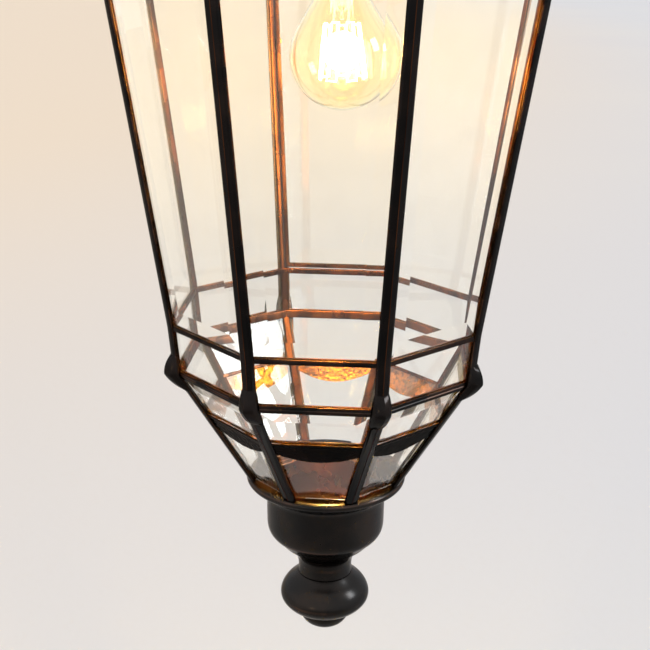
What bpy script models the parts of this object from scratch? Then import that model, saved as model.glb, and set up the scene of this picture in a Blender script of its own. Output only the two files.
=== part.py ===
"""Octagonal hanging lantern of bevelled glass in a patinated brass cage.

Metres, +Z up. The origin is the point where a ceiling hook bears inside the
hanging ring. The cage is eight-sided, with a flat facing each of +X and +Y.
Positions on a glass flat use three measures, all from the glass mid-plane:
  d  along the flat, from the corner line towards the middle of the flat
  h  outward, square to the glass
  q  down the slope of the glass
"""
import math

import bmesh
import bpy
from mathutils import Matrix, Vector

MM = 0.001

# ---- cage heights, below the hanging point ----
Z_SHOULDER = -160 * MM
Z_UPPER_RAIL = -460 * MM
Z_KNUCKLE = Z_UPPER_RAIL - 29 * MM
Z_COLLAR = Z_UPPER_RAIL - 105 * MM
SWAG_DOWN = 30 * MM          # slope distance from the knuckles to the swags

# ---- corner radius of the glass mid-plane at those heights ----
R_SHOULDER = 140.2 * MM
R_UPPER_RAIL = 95.4 * MM
R_KNUCKLE = 92.7 * MM
R_COLLAR = 47 * MM

# ---- glass ----
SIDES = 8
DOOR_FACE = 2                # the flat that faces +Y
HALF_GLASS = 0.6 * MM        # at a pane's edges
BEVEL_WIDTH = 13 * MM
BEVEL_RISE = 0.8 * MM
GAP = 0.3 * MM

# ---- corner bars ----
WEB = 1.6 * MM               # half of the web between two panes
BAR_CREST = 3.1 * MM
KNUCKLE_RISE = 3.7 * MM
KNUCKLE_HALF_HEIGHT = 11.5 * MM
DOOR_JAMB = 1.2 * MM         # where a door-side bar stops
DOOR_STILE = 1.6 * MM        # where the door's own stile starts

# ---- hinges and latch ----
HINGE_HEIGHTS = (Z_UPPER_RAIL + 50 * MM, Z_UPPER_RAIL + 250 * MM)
HINGE_D = 1.4 * MM
HINGE_H = 5.6 * MM
LUG_HEIGHT = 6 * MM
LUG_RADIUS = 2.2 * MM
PIN_RADIUS = 0.9 * MM
LATCH_Z = Z_UPPER_RAIL + 150 * MM
LATCH_REACH = 10.5 * MM
LATCH_SIDE = 3.0 * MM        # the pivot stud's d on the door stile

# ---- roof and crown ----
ROOF_BASE = Z_SHOULDER + 6.3 * MM
EAVE_LOW = Z_SHOULDER + 11 * MM
EAVE_RADIUS = 147 * MM       # to the corners
EAVE_ROLL = 1.5 * MM         # how far the rolled edge stands out
CROWN_TOP = Z_SHOULDER + 73.7 * MM
CROWN_RADIUS = 46.5 * MM
CROWN_MOUTH = 38.5 * MM
ROOF_SHEET = 1.6 * MM
RING_RADIUS = 22.5 * MM      # to the middle of the wire
RING_WIRE = 2.5 * MM
EYE_RADIUS = 8.5 * MM
EYE_WIRE = 2.25 * MM
EYE_Z = -45.9 * MM
BRIDGE_Z = -84 * MM
GLAND_X = -34 * MM

# ---- lamp, in its own frame: origin at the bridge, -Z down the lamp ----
LAMP_LEAN = math.radians(1.8)
BULB_TIP = -254 * MM
BULB_RADIUS = 30 * MM

HALF_TURN = math.pi / SIDES
COS = math.cos(HALF_TURN)
TAN = math.tan(HALF_TURN)


# ---------------------------------------------------------------- helpers

def clear_scene():
    for item in list(bpy.data.objects):
        bpy.data.objects.remove(item)


def material(name, colour, roughness, metallic, transmission=0.0):
    """A plain Principled material."""
    made = bpy.data.materials.new(name)
    made.use_nodes = True
    shader = made.node_tree.nodes["Principled BSDF"]
    shader.inputs["Base Color"].default_value = (*colour, 1)
    shader.inputs["Roughness"].default_value = roughness
    shader.inputs["Metallic"].default_value = metallic
    shader.inputs["Transmission Weight"].default_value = transmission
    return made


def add_object(name, mesh, finish=None):
    mesh.shade_smooth()
    mesh.set_sharp_from_angle(angle=math.radians(32))
    made = bpy.data.objects.new(name, mesh)
    if finish:
        mesh.materials.append(finish)
    bpy.context.collection.objects.link(made)
    return made


def mesh_from(name, points, faces):
    """A closed mesh with its faces pointing out."""
    mesh = bpy.data.meshes.new(name)
    mesh.from_pydata([tuple(point) for point in points], [], faces)
    shape = bmesh.new()
    shape.from_mesh(mesh)
    bmesh.ops.recalc_face_normals(shape, faces=shape.faces)
    shape.to_mesh(mesh)
    shape.free()
    return mesh


def loft(name, stations, closed=False):
    """Joins equal outlines in order, with end caps unless it closes on itself."""
    size = len(stations[0])
    points = [point for outline in stations for point in outline]
    faces = []
    steps = len(stations) if closed else len(stations) - 1
    for step in range(steps):
        here = step * size
        there = (step + 1) % len(stations) * size
        for i in range(size):
            j = (i + 1) % size
            faces.append((here + i, here + j, there + j, there + i))
    if not closed:
        faces.append(tuple(range(size)))
        faces.append(tuple(range(len(points) - size, len(points))))
    return mesh_from(name, points, faces)


def turned(name, profile, steps=32):
    """A closed profile of (radius, height) turned round Z."""
    stations = []
    for step in range(steps):
        angle = 2 * math.pi * step / steps
        stations.append([Vector((r * math.cos(angle), r * math.sin(angle), z)) for r, z in profile])
    return loft(name, stations, closed=True)


def turned_solid(name, profile, steps=32):
    """An open profile turned round Z, whose two ends lie on the axis."""
    points = [Vector((0, 0, profile[0][1]))]
    for r, z in profile[1:-1]:
        for step in range(steps):
            angle = 2 * math.pi * step / steps
            points.append(Vector((r * math.cos(angle), r * math.sin(angle), z)))
    points.append(Vector((0, 0, profile[-1][1])))
    faces = []
    rows = len(profile) - 2
    for step in range(steps):
        after = (step + 1) % steps
        faces.append((0, 1 + step, 1 + after))
        for row in range(rows - 1):
            low = 1 + row * steps
            high = low + steps
            faces.append((low + step, high + step, high + after, low + after))
        last = 1 + (rows - 1) * steps
        faces.append((last + step, len(points) - 1, last + after))
    return mesh_from(name, points, faces)


def rod(name, radius, bottom, top, steps=16):
    """A plain solid cylinder round Z."""
    return turned_solid(name, [(0, bottom), (radius, bottom), (radius, top), (0, top)], steps)


def millimetres(pairs):
    return [(a * MM, b * MM) for a, b in pairs]


def arc(centre, radius, start, end, steps):
    """Points on an arc, from start to end in degrees."""
    points = []
    for step in range(steps + 1):
        angle = math.radians(start + (end - start) * step / steps)
        points.append((centre[0] + radius * math.cos(angle), centre[1] + radius * math.sin(angle)))
    return points


def use_tool(part, tool, operation):
    """Adds a Boolean to a part and keeps its tool as a wire guide."""
    tool.hide_render = True
    tool.display_type = "WIRE"
    change = part.modifiers.new(tool.name, "BOOLEAN")
    change.operation = operation
    change.object = tool
    change.solver = "EXACT"


def cut(part, tool):
    use_tool(part, tool, "DIFFERENCE")


def join(part, tool):
    use_tool(part, tool, "UNION")


# ---------------------------------------------------------------- cage geometry

def glass_radius(z):
    """Corner radius of the glass mid-plane at a height."""
    if z > Z_UPPER_RAIL:
        share = (z - Z_UPPER_RAIL) / (Z_SHOULDER - Z_UPPER_RAIL)
        return R_UPPER_RAIL + share * (R_SHOULDER - R_UPPER_RAIL)
    if z > Z_KNUCKLE:
        share = (z - Z_KNUCKLE) / (Z_UPPER_RAIL - Z_KNUCKLE)
        return R_KNUCKLE + share * (R_UPPER_RAIL - R_KNUCKLE)
    share = (z - Z_COLLAR) / (Z_KNUCKLE - Z_COLLAR)
    return R_COLLAR + share * (R_KNUCKLE - R_COLLAR)


def lean(z_low, z_high):
    """How far the flats between two heights lean out of the vertical."""
    run = (glass_radius(z_high) - glass_radius(z_low)) * COS
    return math.atan2(run, z_high - z_low)


UPPER_LEAN = lean(Z_UPPER_RAIL + MM, Z_SHOULDER)
LOWER_LEAN = lean(Z_COLLAR, Z_KNUCKLE)


def face_angle(face):
    return 2 * math.pi * face / SIDES


def corner_angle(corner):
    return 2 * math.pi * (corner - 0.5) / SIDES


def polar(radius, angle, z):
    return Vector((radius * math.cos(angle), radius * math.sin(angle), z))


def flat_frame(face, z_low, z_high):
    """Axes on a glass flat: x along it, y up its slope, z outward; origin mid-way at z_low."""
    outward = polar(1, face_angle(face), 0)
    along = polar(1, face_angle(face) + math.pi / 2, 0)
    low = outward * glass_radius(z_low) * COS + Vector((0, 0, z_low))
    high = outward * glass_radius(z_high) * COS + Vector((0, 0, z_high))
    up = (high - low).normalized()
    frame = Matrix((along, up, along.cross(up))).transposed().to_4x4()
    frame.translation = low
    return frame


class Flat:
    """One glazed opening: a trapezium on a flat, from z_low to z_high, kept side_gap off the corners."""

    def __init__(self, face, z_low, z_high, side_gap):
        self.frame = flat_frame(face, z_low, z_high)
        self.low = glass_radius(z_low) * COS * TAN - side_gap
        self.high = glass_radius(z_high) * COS * TAN - side_gap
        rise = z_high - z_low
        run = (glass_radius(z_high) - glass_radius(z_low)) * COS
        self.length = math.hypot(rise, run)
        self.slant = (self.high - self.low) / self.length

    def half_width(self, up):
        return self.low + self.slant * up

    def corners(self, inset, h):
        """The four corners of the opening moved in by inset, at height h off the glass mid-plane."""
        side = inset * math.hypot(1, self.slant)
        ends = (inset, self.length - inset)
        low, high = [self.half_width(up) - side for up in ends]
        flat_points = [(-low, ends[0]), (low, ends[0]), (high, ends[1]), (-high, ends[1])]
        return [self.frame @ Vector((x, y, h)) for x, y in flat_points]


def octagon_ring(name, section, radius, z):
    """An eight-sided ring with a section of (h, height) round the glass line at a radius."""
    stations = []
    for corner in range(SIDES):
        outline = [polar(radius + h / COS, corner_angle(corner), z + up) for h, up in section]
        stations.append(outline)
    return loft(name, stations, closed=True)


# ---------------------------------------------------------------- panes

def flat_pane(name, opening, finish):
    stations = [opening.corners(0, -HALF_GLASS), opening.corners(0, HALF_GLASS)]
    return add_object(name, loft(name, stations), finish)


def bevelled_pane(name, opening, finish):
    """A pane whose outer face slopes up from a thin rim to a thicker middle."""
    stations = [
        opening.corners(0, -HALF_GLASS),
        opening.corners(0, HALF_GLASS),
        opening.corners(BEVEL_WIDTH, HALF_GLASS + BEVEL_RISE),
    ]
    return add_object(name, loft(name, stations), finish)


def long_opening(face):
    return Flat(face, Z_UPPER_RAIL + 1.1 * MM, Z_SHOULDER - 2.2 * MM, WEB + GAP)


def door_opening():
    """The clear opening that the door frame fills, already less its running gap."""
    return Flat(DOOR_FACE, Z_UPPER_RAIL + 2.6 * MM, Z_SHOULDER - 4 * MM, DOOR_STILE)


def make_panes(glass):
    for face in range(SIDES):
        number = face + 1
        if face != DOOR_FACE:
            bevelled_pane(f"long_pane_{number}", long_opening(face), glass)
        band = Flat(face, Z_KNUCKLE + 1.5 * MM, Z_UPPER_RAIL - 1.1 * MM, WEB + GAP)
        flat_pane(f"band_pane_{number}", band, glass)
        lower = Flat(face, Z_COLLAR + 1.5 * MM, Z_KNUCKLE - 2.2 * MM, WEB + 0.5 * MM)
        flat_pane(f"lower_pane_{number}", lower, glass)


# ---------------------------------------------------------------- rails

def box_section(low_h, high_h, half_height):
    return millimetres([(low_h, -half_height), (low_h, half_height), (high_h, half_height), (high_h, -half_height)])


def make_shoulder_rail(finish):
    section = millimetres([
        (-3.5, -3), (-1.4, -3), (-1.4, -1.6), (0.9, -1.6), (0.9, -3), (5.5, -3),
        (6.6, -1), (6.6, 1), (5.4, 2.6), (3.8, 3.2), (3.8, 6), (-3.5, 6),
    ])
    return add_object("shoulder_rail", octagon_ring("shoulder_rail", section, R_SHOULDER, Z_SHOULDER), finish)


def make_upper_rail(finish):
    """A slim rail with one slot above and one below for the glass."""
    section = millimetres([
        (-2.2, -1.5), (-2.2, 1.5), (-1.0, 1.5), (-1.0, 0.6), (1.15, 0.6), (1.15, 1.5),
        (1.8, 1.5), (1.8, -1.5), (1.15, -1.5), (1.15, -0.6), (-1.0, -0.6), (-1.0, -1.5),
    ])
    ring = octagon_ring("upper_rail", section, R_UPPER_RAIL, Z_UPPER_RAIL)
    return add_object("upper_rail", ring, finish)


def make_knuckle_rail(finish):
    """The rail where the glass changes slope: its lower lips lean in with the lower panes."""
    section = millimetres([
        (-2.4, 2.4), (-1.0, 2.4), (-1.0, 1.0), (1.2, 1.0), (1.2, 2.4), (2.0, 2.4), (2.0, -0.2),
        (1.2, -2.4), (-0.2, -2.4), (0.55, -1.0), (-1.7, -1.0), (-2.45, -2.4), (-3.6, -2.4),
    ])
    ring = octagon_ring("knuckle_rail", section, R_KNUCKLE, Z_KNUCKLE)
    return add_object("knuckle_rail", ring, finish)


def swag_point(corner_share, face, q, h):
    """A point on the lower cone: corner_share runs -1 to 1 across a flat, q down it, h off it."""
    z = Z_KNUCKLE - SWAG_DOWN * math.cos(LOWER_LEAN)
    z_here = z - q * math.cos(LOWER_LEAN) - h * math.sin(LOWER_LEAN)
    apothem = glass_radius(z) * COS - q * math.sin(LOWER_LEAN) + h * math.cos(LOWER_LEAN)
    outward = polar(apothem, face_angle(face), z_here)
    return outward + polar(corner_share * apothem * TAN, face_angle(face) + math.pi / 2, 0)


def swag_depth(share):
    """Depth of a swag below its top edge: shallow at the bars, deepest mid-way."""
    return (7.4 + 9.0 * (1 - share * share)) * MM


def swag_ring(name, section_at, steps=6):
    """A ring on the lower cone, whose section of (q, h) may change across each flat."""
    stations = []
    for face in range(SIDES):
        for step in range(steps):
            share = -1 + 2 * step / steps
            stations.append([swag_point(share, face, q, h) for q, h in section_at(share)])
    return loft(name, stations, closed=True)


def swag_section(share):
    depth = swag_depth(share) / MM
    return millimetres([(0, 1), (0, 1.8), (2.0, 1.8), (2.2, 1.6), (depth, 1.6), (depth, 1)])


def make_swags(finish):
    add_object("swag_belt", swag_ring("swag_belt", swag_section), finish)
    backing = millimetres([(0, -0.9), (0, -2.1), (2.2, -2.1), (2.2, -0.9)])
    add_object("swag_inner_rail", swag_ring("swag_inner_rail", lambda share: backing, 1), finish)


def rail_notches():
    """Tools, a little larger than each rail, that let the rails into the backs of the bars."""
    shapes = [
        octagon_ring("notch_upper", box_section(-8, 2.1, 1.8), R_UPPER_RAIL, Z_UPPER_RAIL),
        octagon_ring("notch_knuckle", box_section(-8, 2.3, 2.7), R_KNUCKLE, Z_KNUCKLE),
    ]
    belt = millimetres([(-0.4, 0.7), (-0.4, 2.1), (10.4, 2.1), (10.4, 0.7)])
    inner = millimetres([(-0.4, -0.6), (-0.4, -8), (2.6, -8), (2.6, -0.6)])
    shapes.append(swag_ring("notch_swag", lambda share: belt, 1))
    shapes.append(swag_ring("notch_inner", lambda share: inner, 1))
    return [add_object(shape.name, shape) for shape in shapes]


# ---------------------------------------------------------------- corner bars

def bar_half_section(swell):
    """Half of a bar's outline as (d, h) in millimetres: front bead, slot for a pane, back bead."""
    crest = BAR_CREST / MM
    rise = KNUCKLE_RISE / MM * swell
    spread = 1.3 * swell
    return [
        (0.5, crest - 0.3 + rise + 0.3 * swell),
        (1.9 + 0.2 * spread, crest + 0.85 * rise),
        (3.3 + 0.7 * spread, crest - 0.5 + 0.5 * rise),
        (3.8 + spread, 2.0 + 0.15 * rise),
        (3.7 + 0.8 * spread, 1.0),
        (WEB / MM, 1.0),
        (WEB / MM, -0.9),
        (3.1, -0.9),
        (3.0, -1.4),
        (2.4, -1.7),
    ]


def section_point(d, h, side, stretch):
    """A section point as (outward, sideways) from the corner line; side is +1 or -1."""
    h = h * stretch
    outward = -d * math.sin(HALF_TURN) + h * COS
    sideways = d * COS + h * math.sin(HALF_TURN)
    return outward * MM, side * sideways * MM


def bar_outline(corner, z, stretch, swell):
    """The whole outline of a bar at one height."""
    half = bar_half_section(swell)
    groove = (BAR_CREST / MM - 0.55 + swell * (KNUCKLE_RISE / MM + 0.95)) * stretch / COS
    outline = [(groove * MM, 0)]
    outline += [section_point(d, h, 1, stretch) for d, h in half]
    outline += [section_point(d, h, -1, stretch) for d, h in reversed(half)]
    angle = corner_angle(corner)
    radius = glass_radius(z)
    along = polar(1, angle + math.pi / 2, 0)
    return [polar(radius + outward, angle, z) + along * sideways for outward, sideways in outline]


def bar_mesh(name, corner):
    upper = 1 / math.cos(UPPER_LEAN)
    lower = 1 / math.cos(LOWER_LEAN)
    stations = [
        bar_outline(corner, Z_SHOULDER - 3.3 * MM, upper, 0),
        bar_outline(corner, Z_UPPER_RAIL, upper, 0),
    ]
    steps = 6
    for step in range(steps + 1):
        across = 1 - 2 * step / steps
        swell = math.sqrt(1 - across * across)
        stretch = upper if across > 0 else lower
        if step == steps // 2:
            stretch = (upper + lower) / 2
        height = Z_KNUCKLE + math.sin(across * math.pi / 2) * KNUCKLE_HALF_HEIGHT
        stations.append(bar_outline(corner, height, stretch, swell))
    stations.append(bar_outline(corner, Z_COLLAR + 0.3 * MM, lower, 0))
    return loft(name, stations)


def corner_place(corner, side, d, h, z):
    """A point beside a corner line: side +1 is the flat counter-clockwise of it."""
    outward, sideways = section_point(d / MM, h / MM, side, 1)
    angle = corner_angle(corner)
    base = polar(glass_radius(z) + outward, angle, z)
    return base + polar(sideways, angle + math.pi / 2, 0)


def jamb_tool(corner, side):
    """Clears the door's side of a bar, so that the door's own stile can stand there."""
    stations = []
    for z in (Z_UPPER_RAIL + 1.7 * MM, Z_SHOULDER + 5 * MM):
        outline = [(DOOR_JAMB, -7 * MM), (DOOR_JAMB, 9 * MM), (9 * MM, 9 * MM), (9 * MM, -7 * MM)]
        stations.append([corner_place(corner, side, d, h, z) for d, h in outline])
    name = f"jamb_tool_{corner}"
    return add_object(name, loft(name, stations))


def make_bars(finish):
    notches = rail_notches()
    bars = []
    for corner in range(SIDES):
        name = f"corner_bar_{corner + 1}"
        bar = add_object(name, bar_mesh(name, corner), finish)
        for notch in notches:
            cut(bar, notch)
        bars.append(bar)
    cut(bars[DOOR_FACE], jamb_tool(DOOR_FACE, 1))
    cut(bars[DOOR_FACE + 1], jamb_tool(DOOR_FACE + 1, -1))
    return bars


# ---------------------------------------------------------------- door, hinges and latch

def hinge_axis():
    """Unit vector up the hinge line, which runs along the door's hinge-side corner."""
    low = corner_place(DOOR_FACE, 1, HINGE_D, HINGE_H, HINGE_HEIGHTS[0])
    high = corner_place(DOOR_FACE, 1, HINGE_D, HINGE_H, HINGE_HEIGHTS[1])
    return (high - low).normalized()


def hinge_frame(z):
    """Axes at a hinge: z up the pin, y outward, x away from the door."""
    up = hinge_axis()
    outward = flat_frame(DOOR_FACE, Z_UPPER_RAIL + MM, Z_SHOULDER).to_3x3() @ Vector((0, 0, 1))
    across = outward.cross(up).normalized()
    outward = up.cross(across)
    frame = Matrix((across, outward, up)).transposed().to_4x4()
    frame.translation = corner_place(DOOR_FACE, 1, HINGE_D, HINGE_H, z)
    return frame


def prism(name, outline, low, high):
    """A flat (x, y) outline raised from one height to another."""
    return loft(name, [[Vector((x, y, z)) for x, y in outline] for z in (low, high)])


def add_lug(part, name, frame, bottom, leaf_side):
    """Joins a bored hinge barrel with its leaf to a part; leaf_side is -1 for the door."""
    top = bottom + LUG_HEIGHT
    outline = [(0.4 * MM, -3.6 * MM), (2.9 * MM, -3.6 * MM), (2.9 * MM, -1.3 * MM)]
    outline += arc((0, 0), LUG_RADIUS, 3, 258, 12)
    outline = [(x * leaf_side, y) for x, y in outline]
    lug = add_object(name, prism(name, outline, bottom, top))
    bore = add_object(f"{name}_bore", rod(name, PIN_RADIUS + GAP, bottom - MM, top + MM, 14))
    for piece in (lug, bore):
        piece.matrix_world = frame
    cut(lug, bore)
    join(part, lug)


def make_hinge_pin(name, frame, finish):
    """A headed pin that drops through both barrels."""
    bottom = -LUG_HEIGHT - GAP
    head = LUG_HEIGHT + 2 * GAP + 0.1 * MM
    profile = [
        (0, bottom), (PIN_RADIUS, bottom), (PIN_RADIUS, head),
        (1.8 * MM, head), (1.6 * MM, head + 1.0 * MM), (0, head + 1.3 * MM),
    ]
    pin = add_object(name, turned_solid(name, profile, 16), finish)
    pin.matrix_world = frame
    return pin


def door_section():
    """The door frame's section as (inset, h): bead in front, slot for the pane."""
    return millimetres([
        (0, -1.7), (0, 2.4), (0.6, 3.0), (1.5, 3.2), (2.5, 2.8), (2.9, 2.0), (2.8, 1.0),
        (1.3, 1.0), (1.3, -0.9), (2.7, -0.9), (2.6, -1.7),
    ])


def make_door(metal, glass):
    opening = door_opening()
    rows = [opening.corners(inset, h) for inset, h in door_section()]
    stations = [[row[corner] for row in rows] for corner in range(4)]
    frame = add_object("door_frame", loft("door_frame", stations, closed=True), metal)
    slot = 1.6 * MM
    pane_opening = Flat(DOOR_FACE, Z_UPPER_RAIL + 4.25 * MM, Z_SHOULDER - 5.65 * MM, DOOR_STILE + slot)
    bevelled_pane("door_pane", pane_opening, glass)
    return frame


def make_hinges(bar, door, metal):
    for label, z in zip(("lower", "upper"), HINGE_HEIGHTS):
        frame = hinge_frame(z)
        add_lug(bar, f"bar_lug_{label}", frame, -LUG_HEIGHT, 1)
        add_lug(door, f"door_lug_{label}", frame, GAP, -1)
        make_hinge_pin(f"hinge_pin_{label}", frame, metal)


def latch_frame():
    """Axes at the latch pivot: -y down the hook, x away from the peg's side, z inward."""
    flat = flat_frame(DOOR_FACE, Z_UPPER_RAIL + MM, Z_SHOULDER)
    half_width = glass_radius(LATCH_Z) * COS * TAN
    up = (LATCH_Z - flat.translation.z) / math.cos(UPPER_LEAN)
    tilt = math.asin((LATCH_SIDE + 0.2 * MM) / LATCH_REACH)
    place = Matrix.Translation(Vector((half_width - LATCH_SIDE, up, 0)))
    turn = Matrix.Rotation(math.pi, 4, "Y") @ Matrix.Rotation(-tilt, 4, "Z")
    return flat @ place @ turn


def hook_outline():
    """The hook seen flat: an eye at the pivot, a shank, and a jaw open on one side."""
    reach = LATCH_REACH / MM
    eye = arc((0, 0), 2.3, -62, 242, 14)
    jaw = [
        (-1.1, -reach + 3.0), (-1.8, -reach + 2.6), (-1.8, -reach + 1.35), (0.9, -reach + 1.35),
        (1.3, -reach + 0.7), (1.3, -reach - 0.7), (0.9, -reach - 1.35), (-1.8, -reach - 1.35),
        (-1.4, -reach - 2.4), (0.5, -reach - 2.9), (2.2, -reach - 2.3), (2.7, -reach), (1.1, -reach + 3.0),
    ]
    return millimetres(eye + jaw)


def make_latch(bar, door, metal):
    """The hook turns on a headed stud on the door stile and drops over a peg on the bar."""
    frame = latch_frame()
    outline = hook_outline()
    faces = (-3.7 * MM, -4.9 * MM)
    hook = add_object("latch_hook", prism("latch_hook", outline, *faces), metal)
    bore = add_object("latch_bore", rod("latch_bore", 1.2 * MM, -7 * MM, -2 * MM))
    stud_profile = millimetres([(0, -6.4), (1.6, -6.4), (1.9, -6), (1.9, -5.2), (0.9, -5.2), (0.9, -1.8), (0, -1.8)])
    stud = add_object("latch_stud", turned_solid("latch_stud", stud_profile, 16))
    peg_profile = millimetres([(0, -6), (0.6, -6), (0.9, -5.7), (0.9, -1.3), (0, -1.3)])
    peg = add_object("latch_peg", turned_solid("latch_peg", peg_profile, 16))
    for piece in (hook, bore, stud):
        piece.matrix_world = frame
    peg.matrix_world = frame @ Matrix.Translation(Vector((0, -LATCH_REACH, 0)))
    cut(hook, bore)
    join(door, stud)
    join(bar, peg)
    return hook


# ---------------------------------------------------------------- foot of the lantern

def collar_profile():
    """The turned cup under the glass: rolled lip, straight wall, cove and neck, hollow above."""
    outside = [
        (47.5, -105.0), (49.5, -105.9), (50.3, -107.7), (49.6, -109.8), (46.8, -111.6), (43, -113.6),
        (39.7, -116), (37.9, -119), (37.5, -123), (37.4, -132), (37.3, -140.5), (36.5, -144.6),
        (34.4, -147.8), (31.3, -150.4), (30.2, -151.6), (27.8, -154.6), (24.6, -157.2), (21, -160.3),
        (18.6, -163.6), (17.4, -167.5), (17, -171.5), (17.3, -175.8),
    ]
    inside = [
        (3.6, -175.8), (3.6, -141.5), (14, -141.5), (15, -140.4), (24, -140.4), (25, -141.6), (33, -141.6),
        (35.6, -139), (35.9, -112.5), (38.2, -111), (38.8, -107), (41, -105.0),
    ]
    return [(r * MM, Z_UPPER_RAIL + z * MM) for r, z in outside + inside]


def finial_profile():
    points = [
        (17.4, -176.2), (20.5, -179.3), (24.5, -182.6), (27.4, -186.6), (28.9, -190.8), (28.5, -194.8),
        (25.6, -198.8), (21, -202.2), (16.6, -204.7), (3.6, -204.7), (3.6, -176.2),
    ]
    return [(r * MM, Z_UPPER_RAIL + z * MM) for r, z in points]


def button_profile():
    """The end nut: a shallow button with a blind hole for the tie rod."""
    points = [
        (0, -208), (3.6, -208), (3.6, -205.1), (16.1, -205.1), (15.7, -208), (13.8, -211.5),
        (9.5, -214.8), (4.5, -216.4), (0, -216.8),
    ]
    return [(r * MM, Z_UPPER_RAIL + z * MM) for r, z in points]


def make_foot(metal, brass):
    add_object("bottom_collar", turned("bottom_collar", collar_profile(), 26), metal)
    add_object("finial_body", turned("finial_body", finial_profile(), 28), metal)
    add_object("finial_button", turned_solid("finial_button", button_profile(), 24), metal)
    low = Z_UPPER_RAIL - 207.7 * MM
    high = Z_UPPER_RAIL - 134 * MM
    add_object("tie_rod", rod("tie_rod", 3.0 * MM, low, high), brass)
    stations = []
    for step in range(6):
        angle = 2 * math.pi * step / 6
        section = [(3.9, -141.2), (7.4, -141.2), (7.4, -136.2), (3.9, -136.2)]
        stations.append([polar(r * MM, angle, Z_UPPER_RAIL + z * MM) for r, z in section])
    add_object("tie_nut", loft("tie_nut", stations, closed=True), brass)


# ---------------------------------------------------------------- roof and crown

def roof_outline(radius, corner_share, z, steps=2):
    """One level of the roof: an octagon that turns into a circle as corner_share falls to 0."""
    points = []
    for step in range(SIDES * steps):
        angle = corner_angle(0) + 2 * math.pi * step / (SIDES * steps)
        off_flat = (angle - face_angle(0)) % (2 * HALF_TURN)
        off_flat = min(off_flat, 2 * HALF_TURN - off_flat)
        octagon = radius * COS / math.cos(off_flat)
        points.append(polar(corner_share * octagon + (1 - corner_share) * radius, angle, z))
    return points


def roof_levels(thickness):
    """The concave sweep from eave to crown; thickness lowers it for the inner skin."""
    rise_in_all = CROWN_TOP - 0.7 * MM - EAVE_LOW
    steps = 6
    levels = []
    for step in range(steps + 1):
        rise = step / steps
        radius = CROWN_RADIUS + (EAVE_RADIUS - CROWN_RADIUS) * (1 - rise) ** 1.55
        height = EAVE_LOW + rise * rise_in_all - thickness
        levels.append(roof_outline(radius - thickness, 1 - rise ** 2, height))
    return levels


def make_roof(metal):
    """A sheet shell with a rolled eave, open at the eave and at the crown."""
    outer = [
        roof_outline(EAVE_RADIUS - MM, 1, ROOF_BASE),
        roof_outline(EAVE_RADIUS + EAVE_ROLL, 1, ROOF_BASE + 2 * MM),
    ]
    outer += roof_levels(0)
    outer += [roof_outline(CROWN_RADIUS, 0, CROWN_TOP), roof_outline(CROWN_MOUTH, 0, CROWN_TOP)]
    inner = [roof_outline(CROWN_MOUTH, 0, CROWN_TOP - 2.2 * MM)]
    inner += list(reversed(roof_levels(ROOF_SHEET)))
    inner += [roof_outline(EAVE_RADIUS - 6 * MM, 1, ROOF_BASE)]
    add_object("roof_shell", loft("roof_shell", outer + inner, closed=True), metal)


def make_crown(metal):
    """Vented collar with a bridge across it, and the domed cap above."""
    wall = millimetres([
        (44.8, -86), (45.6, -85), (44.8, -84), (41, -83.2), (41, -61.1), (39.4, -61.1), (39.4, -86),
    ])
    collar = add_object("crown_collar", turned("crown_collar", wall, 24), metal)
    half = (40 * MM, 8 * MM)
    outline = [(-half[0], -half[1]), (half[0], -half[1]), (half[0], half[1]), (-half[0], half[1])]
    join(collar, add_object("bridge", prism("bridge", outline, BRIDGE_Z - 2 * MM, BRIDGE_Z)))
    cut(collar, add_object("bridge_hole", rod("bridge_hole", 6 * MM, BRIDGE_Z - 5 * MM, BRIDGE_Z + 3 * MM)))
    for vent in range(4):
        slot = add_object(f"vent_tool_{vent + 1}", vent_slot())
        slot.rotation_euler.z = math.radians(45 * vent + 22.5)
        cut(collar, slot)
    cap = millimetres([
        (4.5, -58.1), (41.6, -58.7), (45.6, -61), (48.6, -65), (50, -69), (50.6, -71), (49.6, -71.8),
        (48.4, -71), (46.6, -66), (44.2, -62.4), (41, -60.7), (4.5, -59.7),
    ])
    top = add_object("crown_cap", turned("crown_cap", cap, 26), metal)
    hole = add_object("cable_hole", rod("cable_hole", 5.4 * MM, -66 * MM, -52 * MM, 20))
    hole.location.x = GLAND_X
    cut(top, hole)


def vent_slot():
    """A round-ended slot that passes through both walls of the collar."""
    half = 6 * MM
    round_end = 3 * MM
    outline = arc((half, 0), round_end, -90, 90, 6) + arc((-half, 0), round_end, 90, 270, 6)
    middle = -77.5 * MM
    return loft("vent_slot", [[Vector((x, y, middle + up)) for x, up in outline] for y in (-50 * MM, 50 * MM)])


def torus(name, radius, wire, steps, sides):
    """A ring of round wire lying in the XZ plane."""
    stations = []
    for step in range(steps):
        turn = 2 * math.pi * step / steps
        outward = Vector((math.sin(turn), 0, math.cos(turn)))
        outline = []
        for side in range(sides):
            angle = 2 * math.pi * side / sides
            reach = outward * (radius + wire * math.cos(angle))
            outline.append(reach + Vector((0, wire * math.sin(angle), 0)))
        stations.append(outline)
    return loft(name, stations, closed=True)


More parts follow.
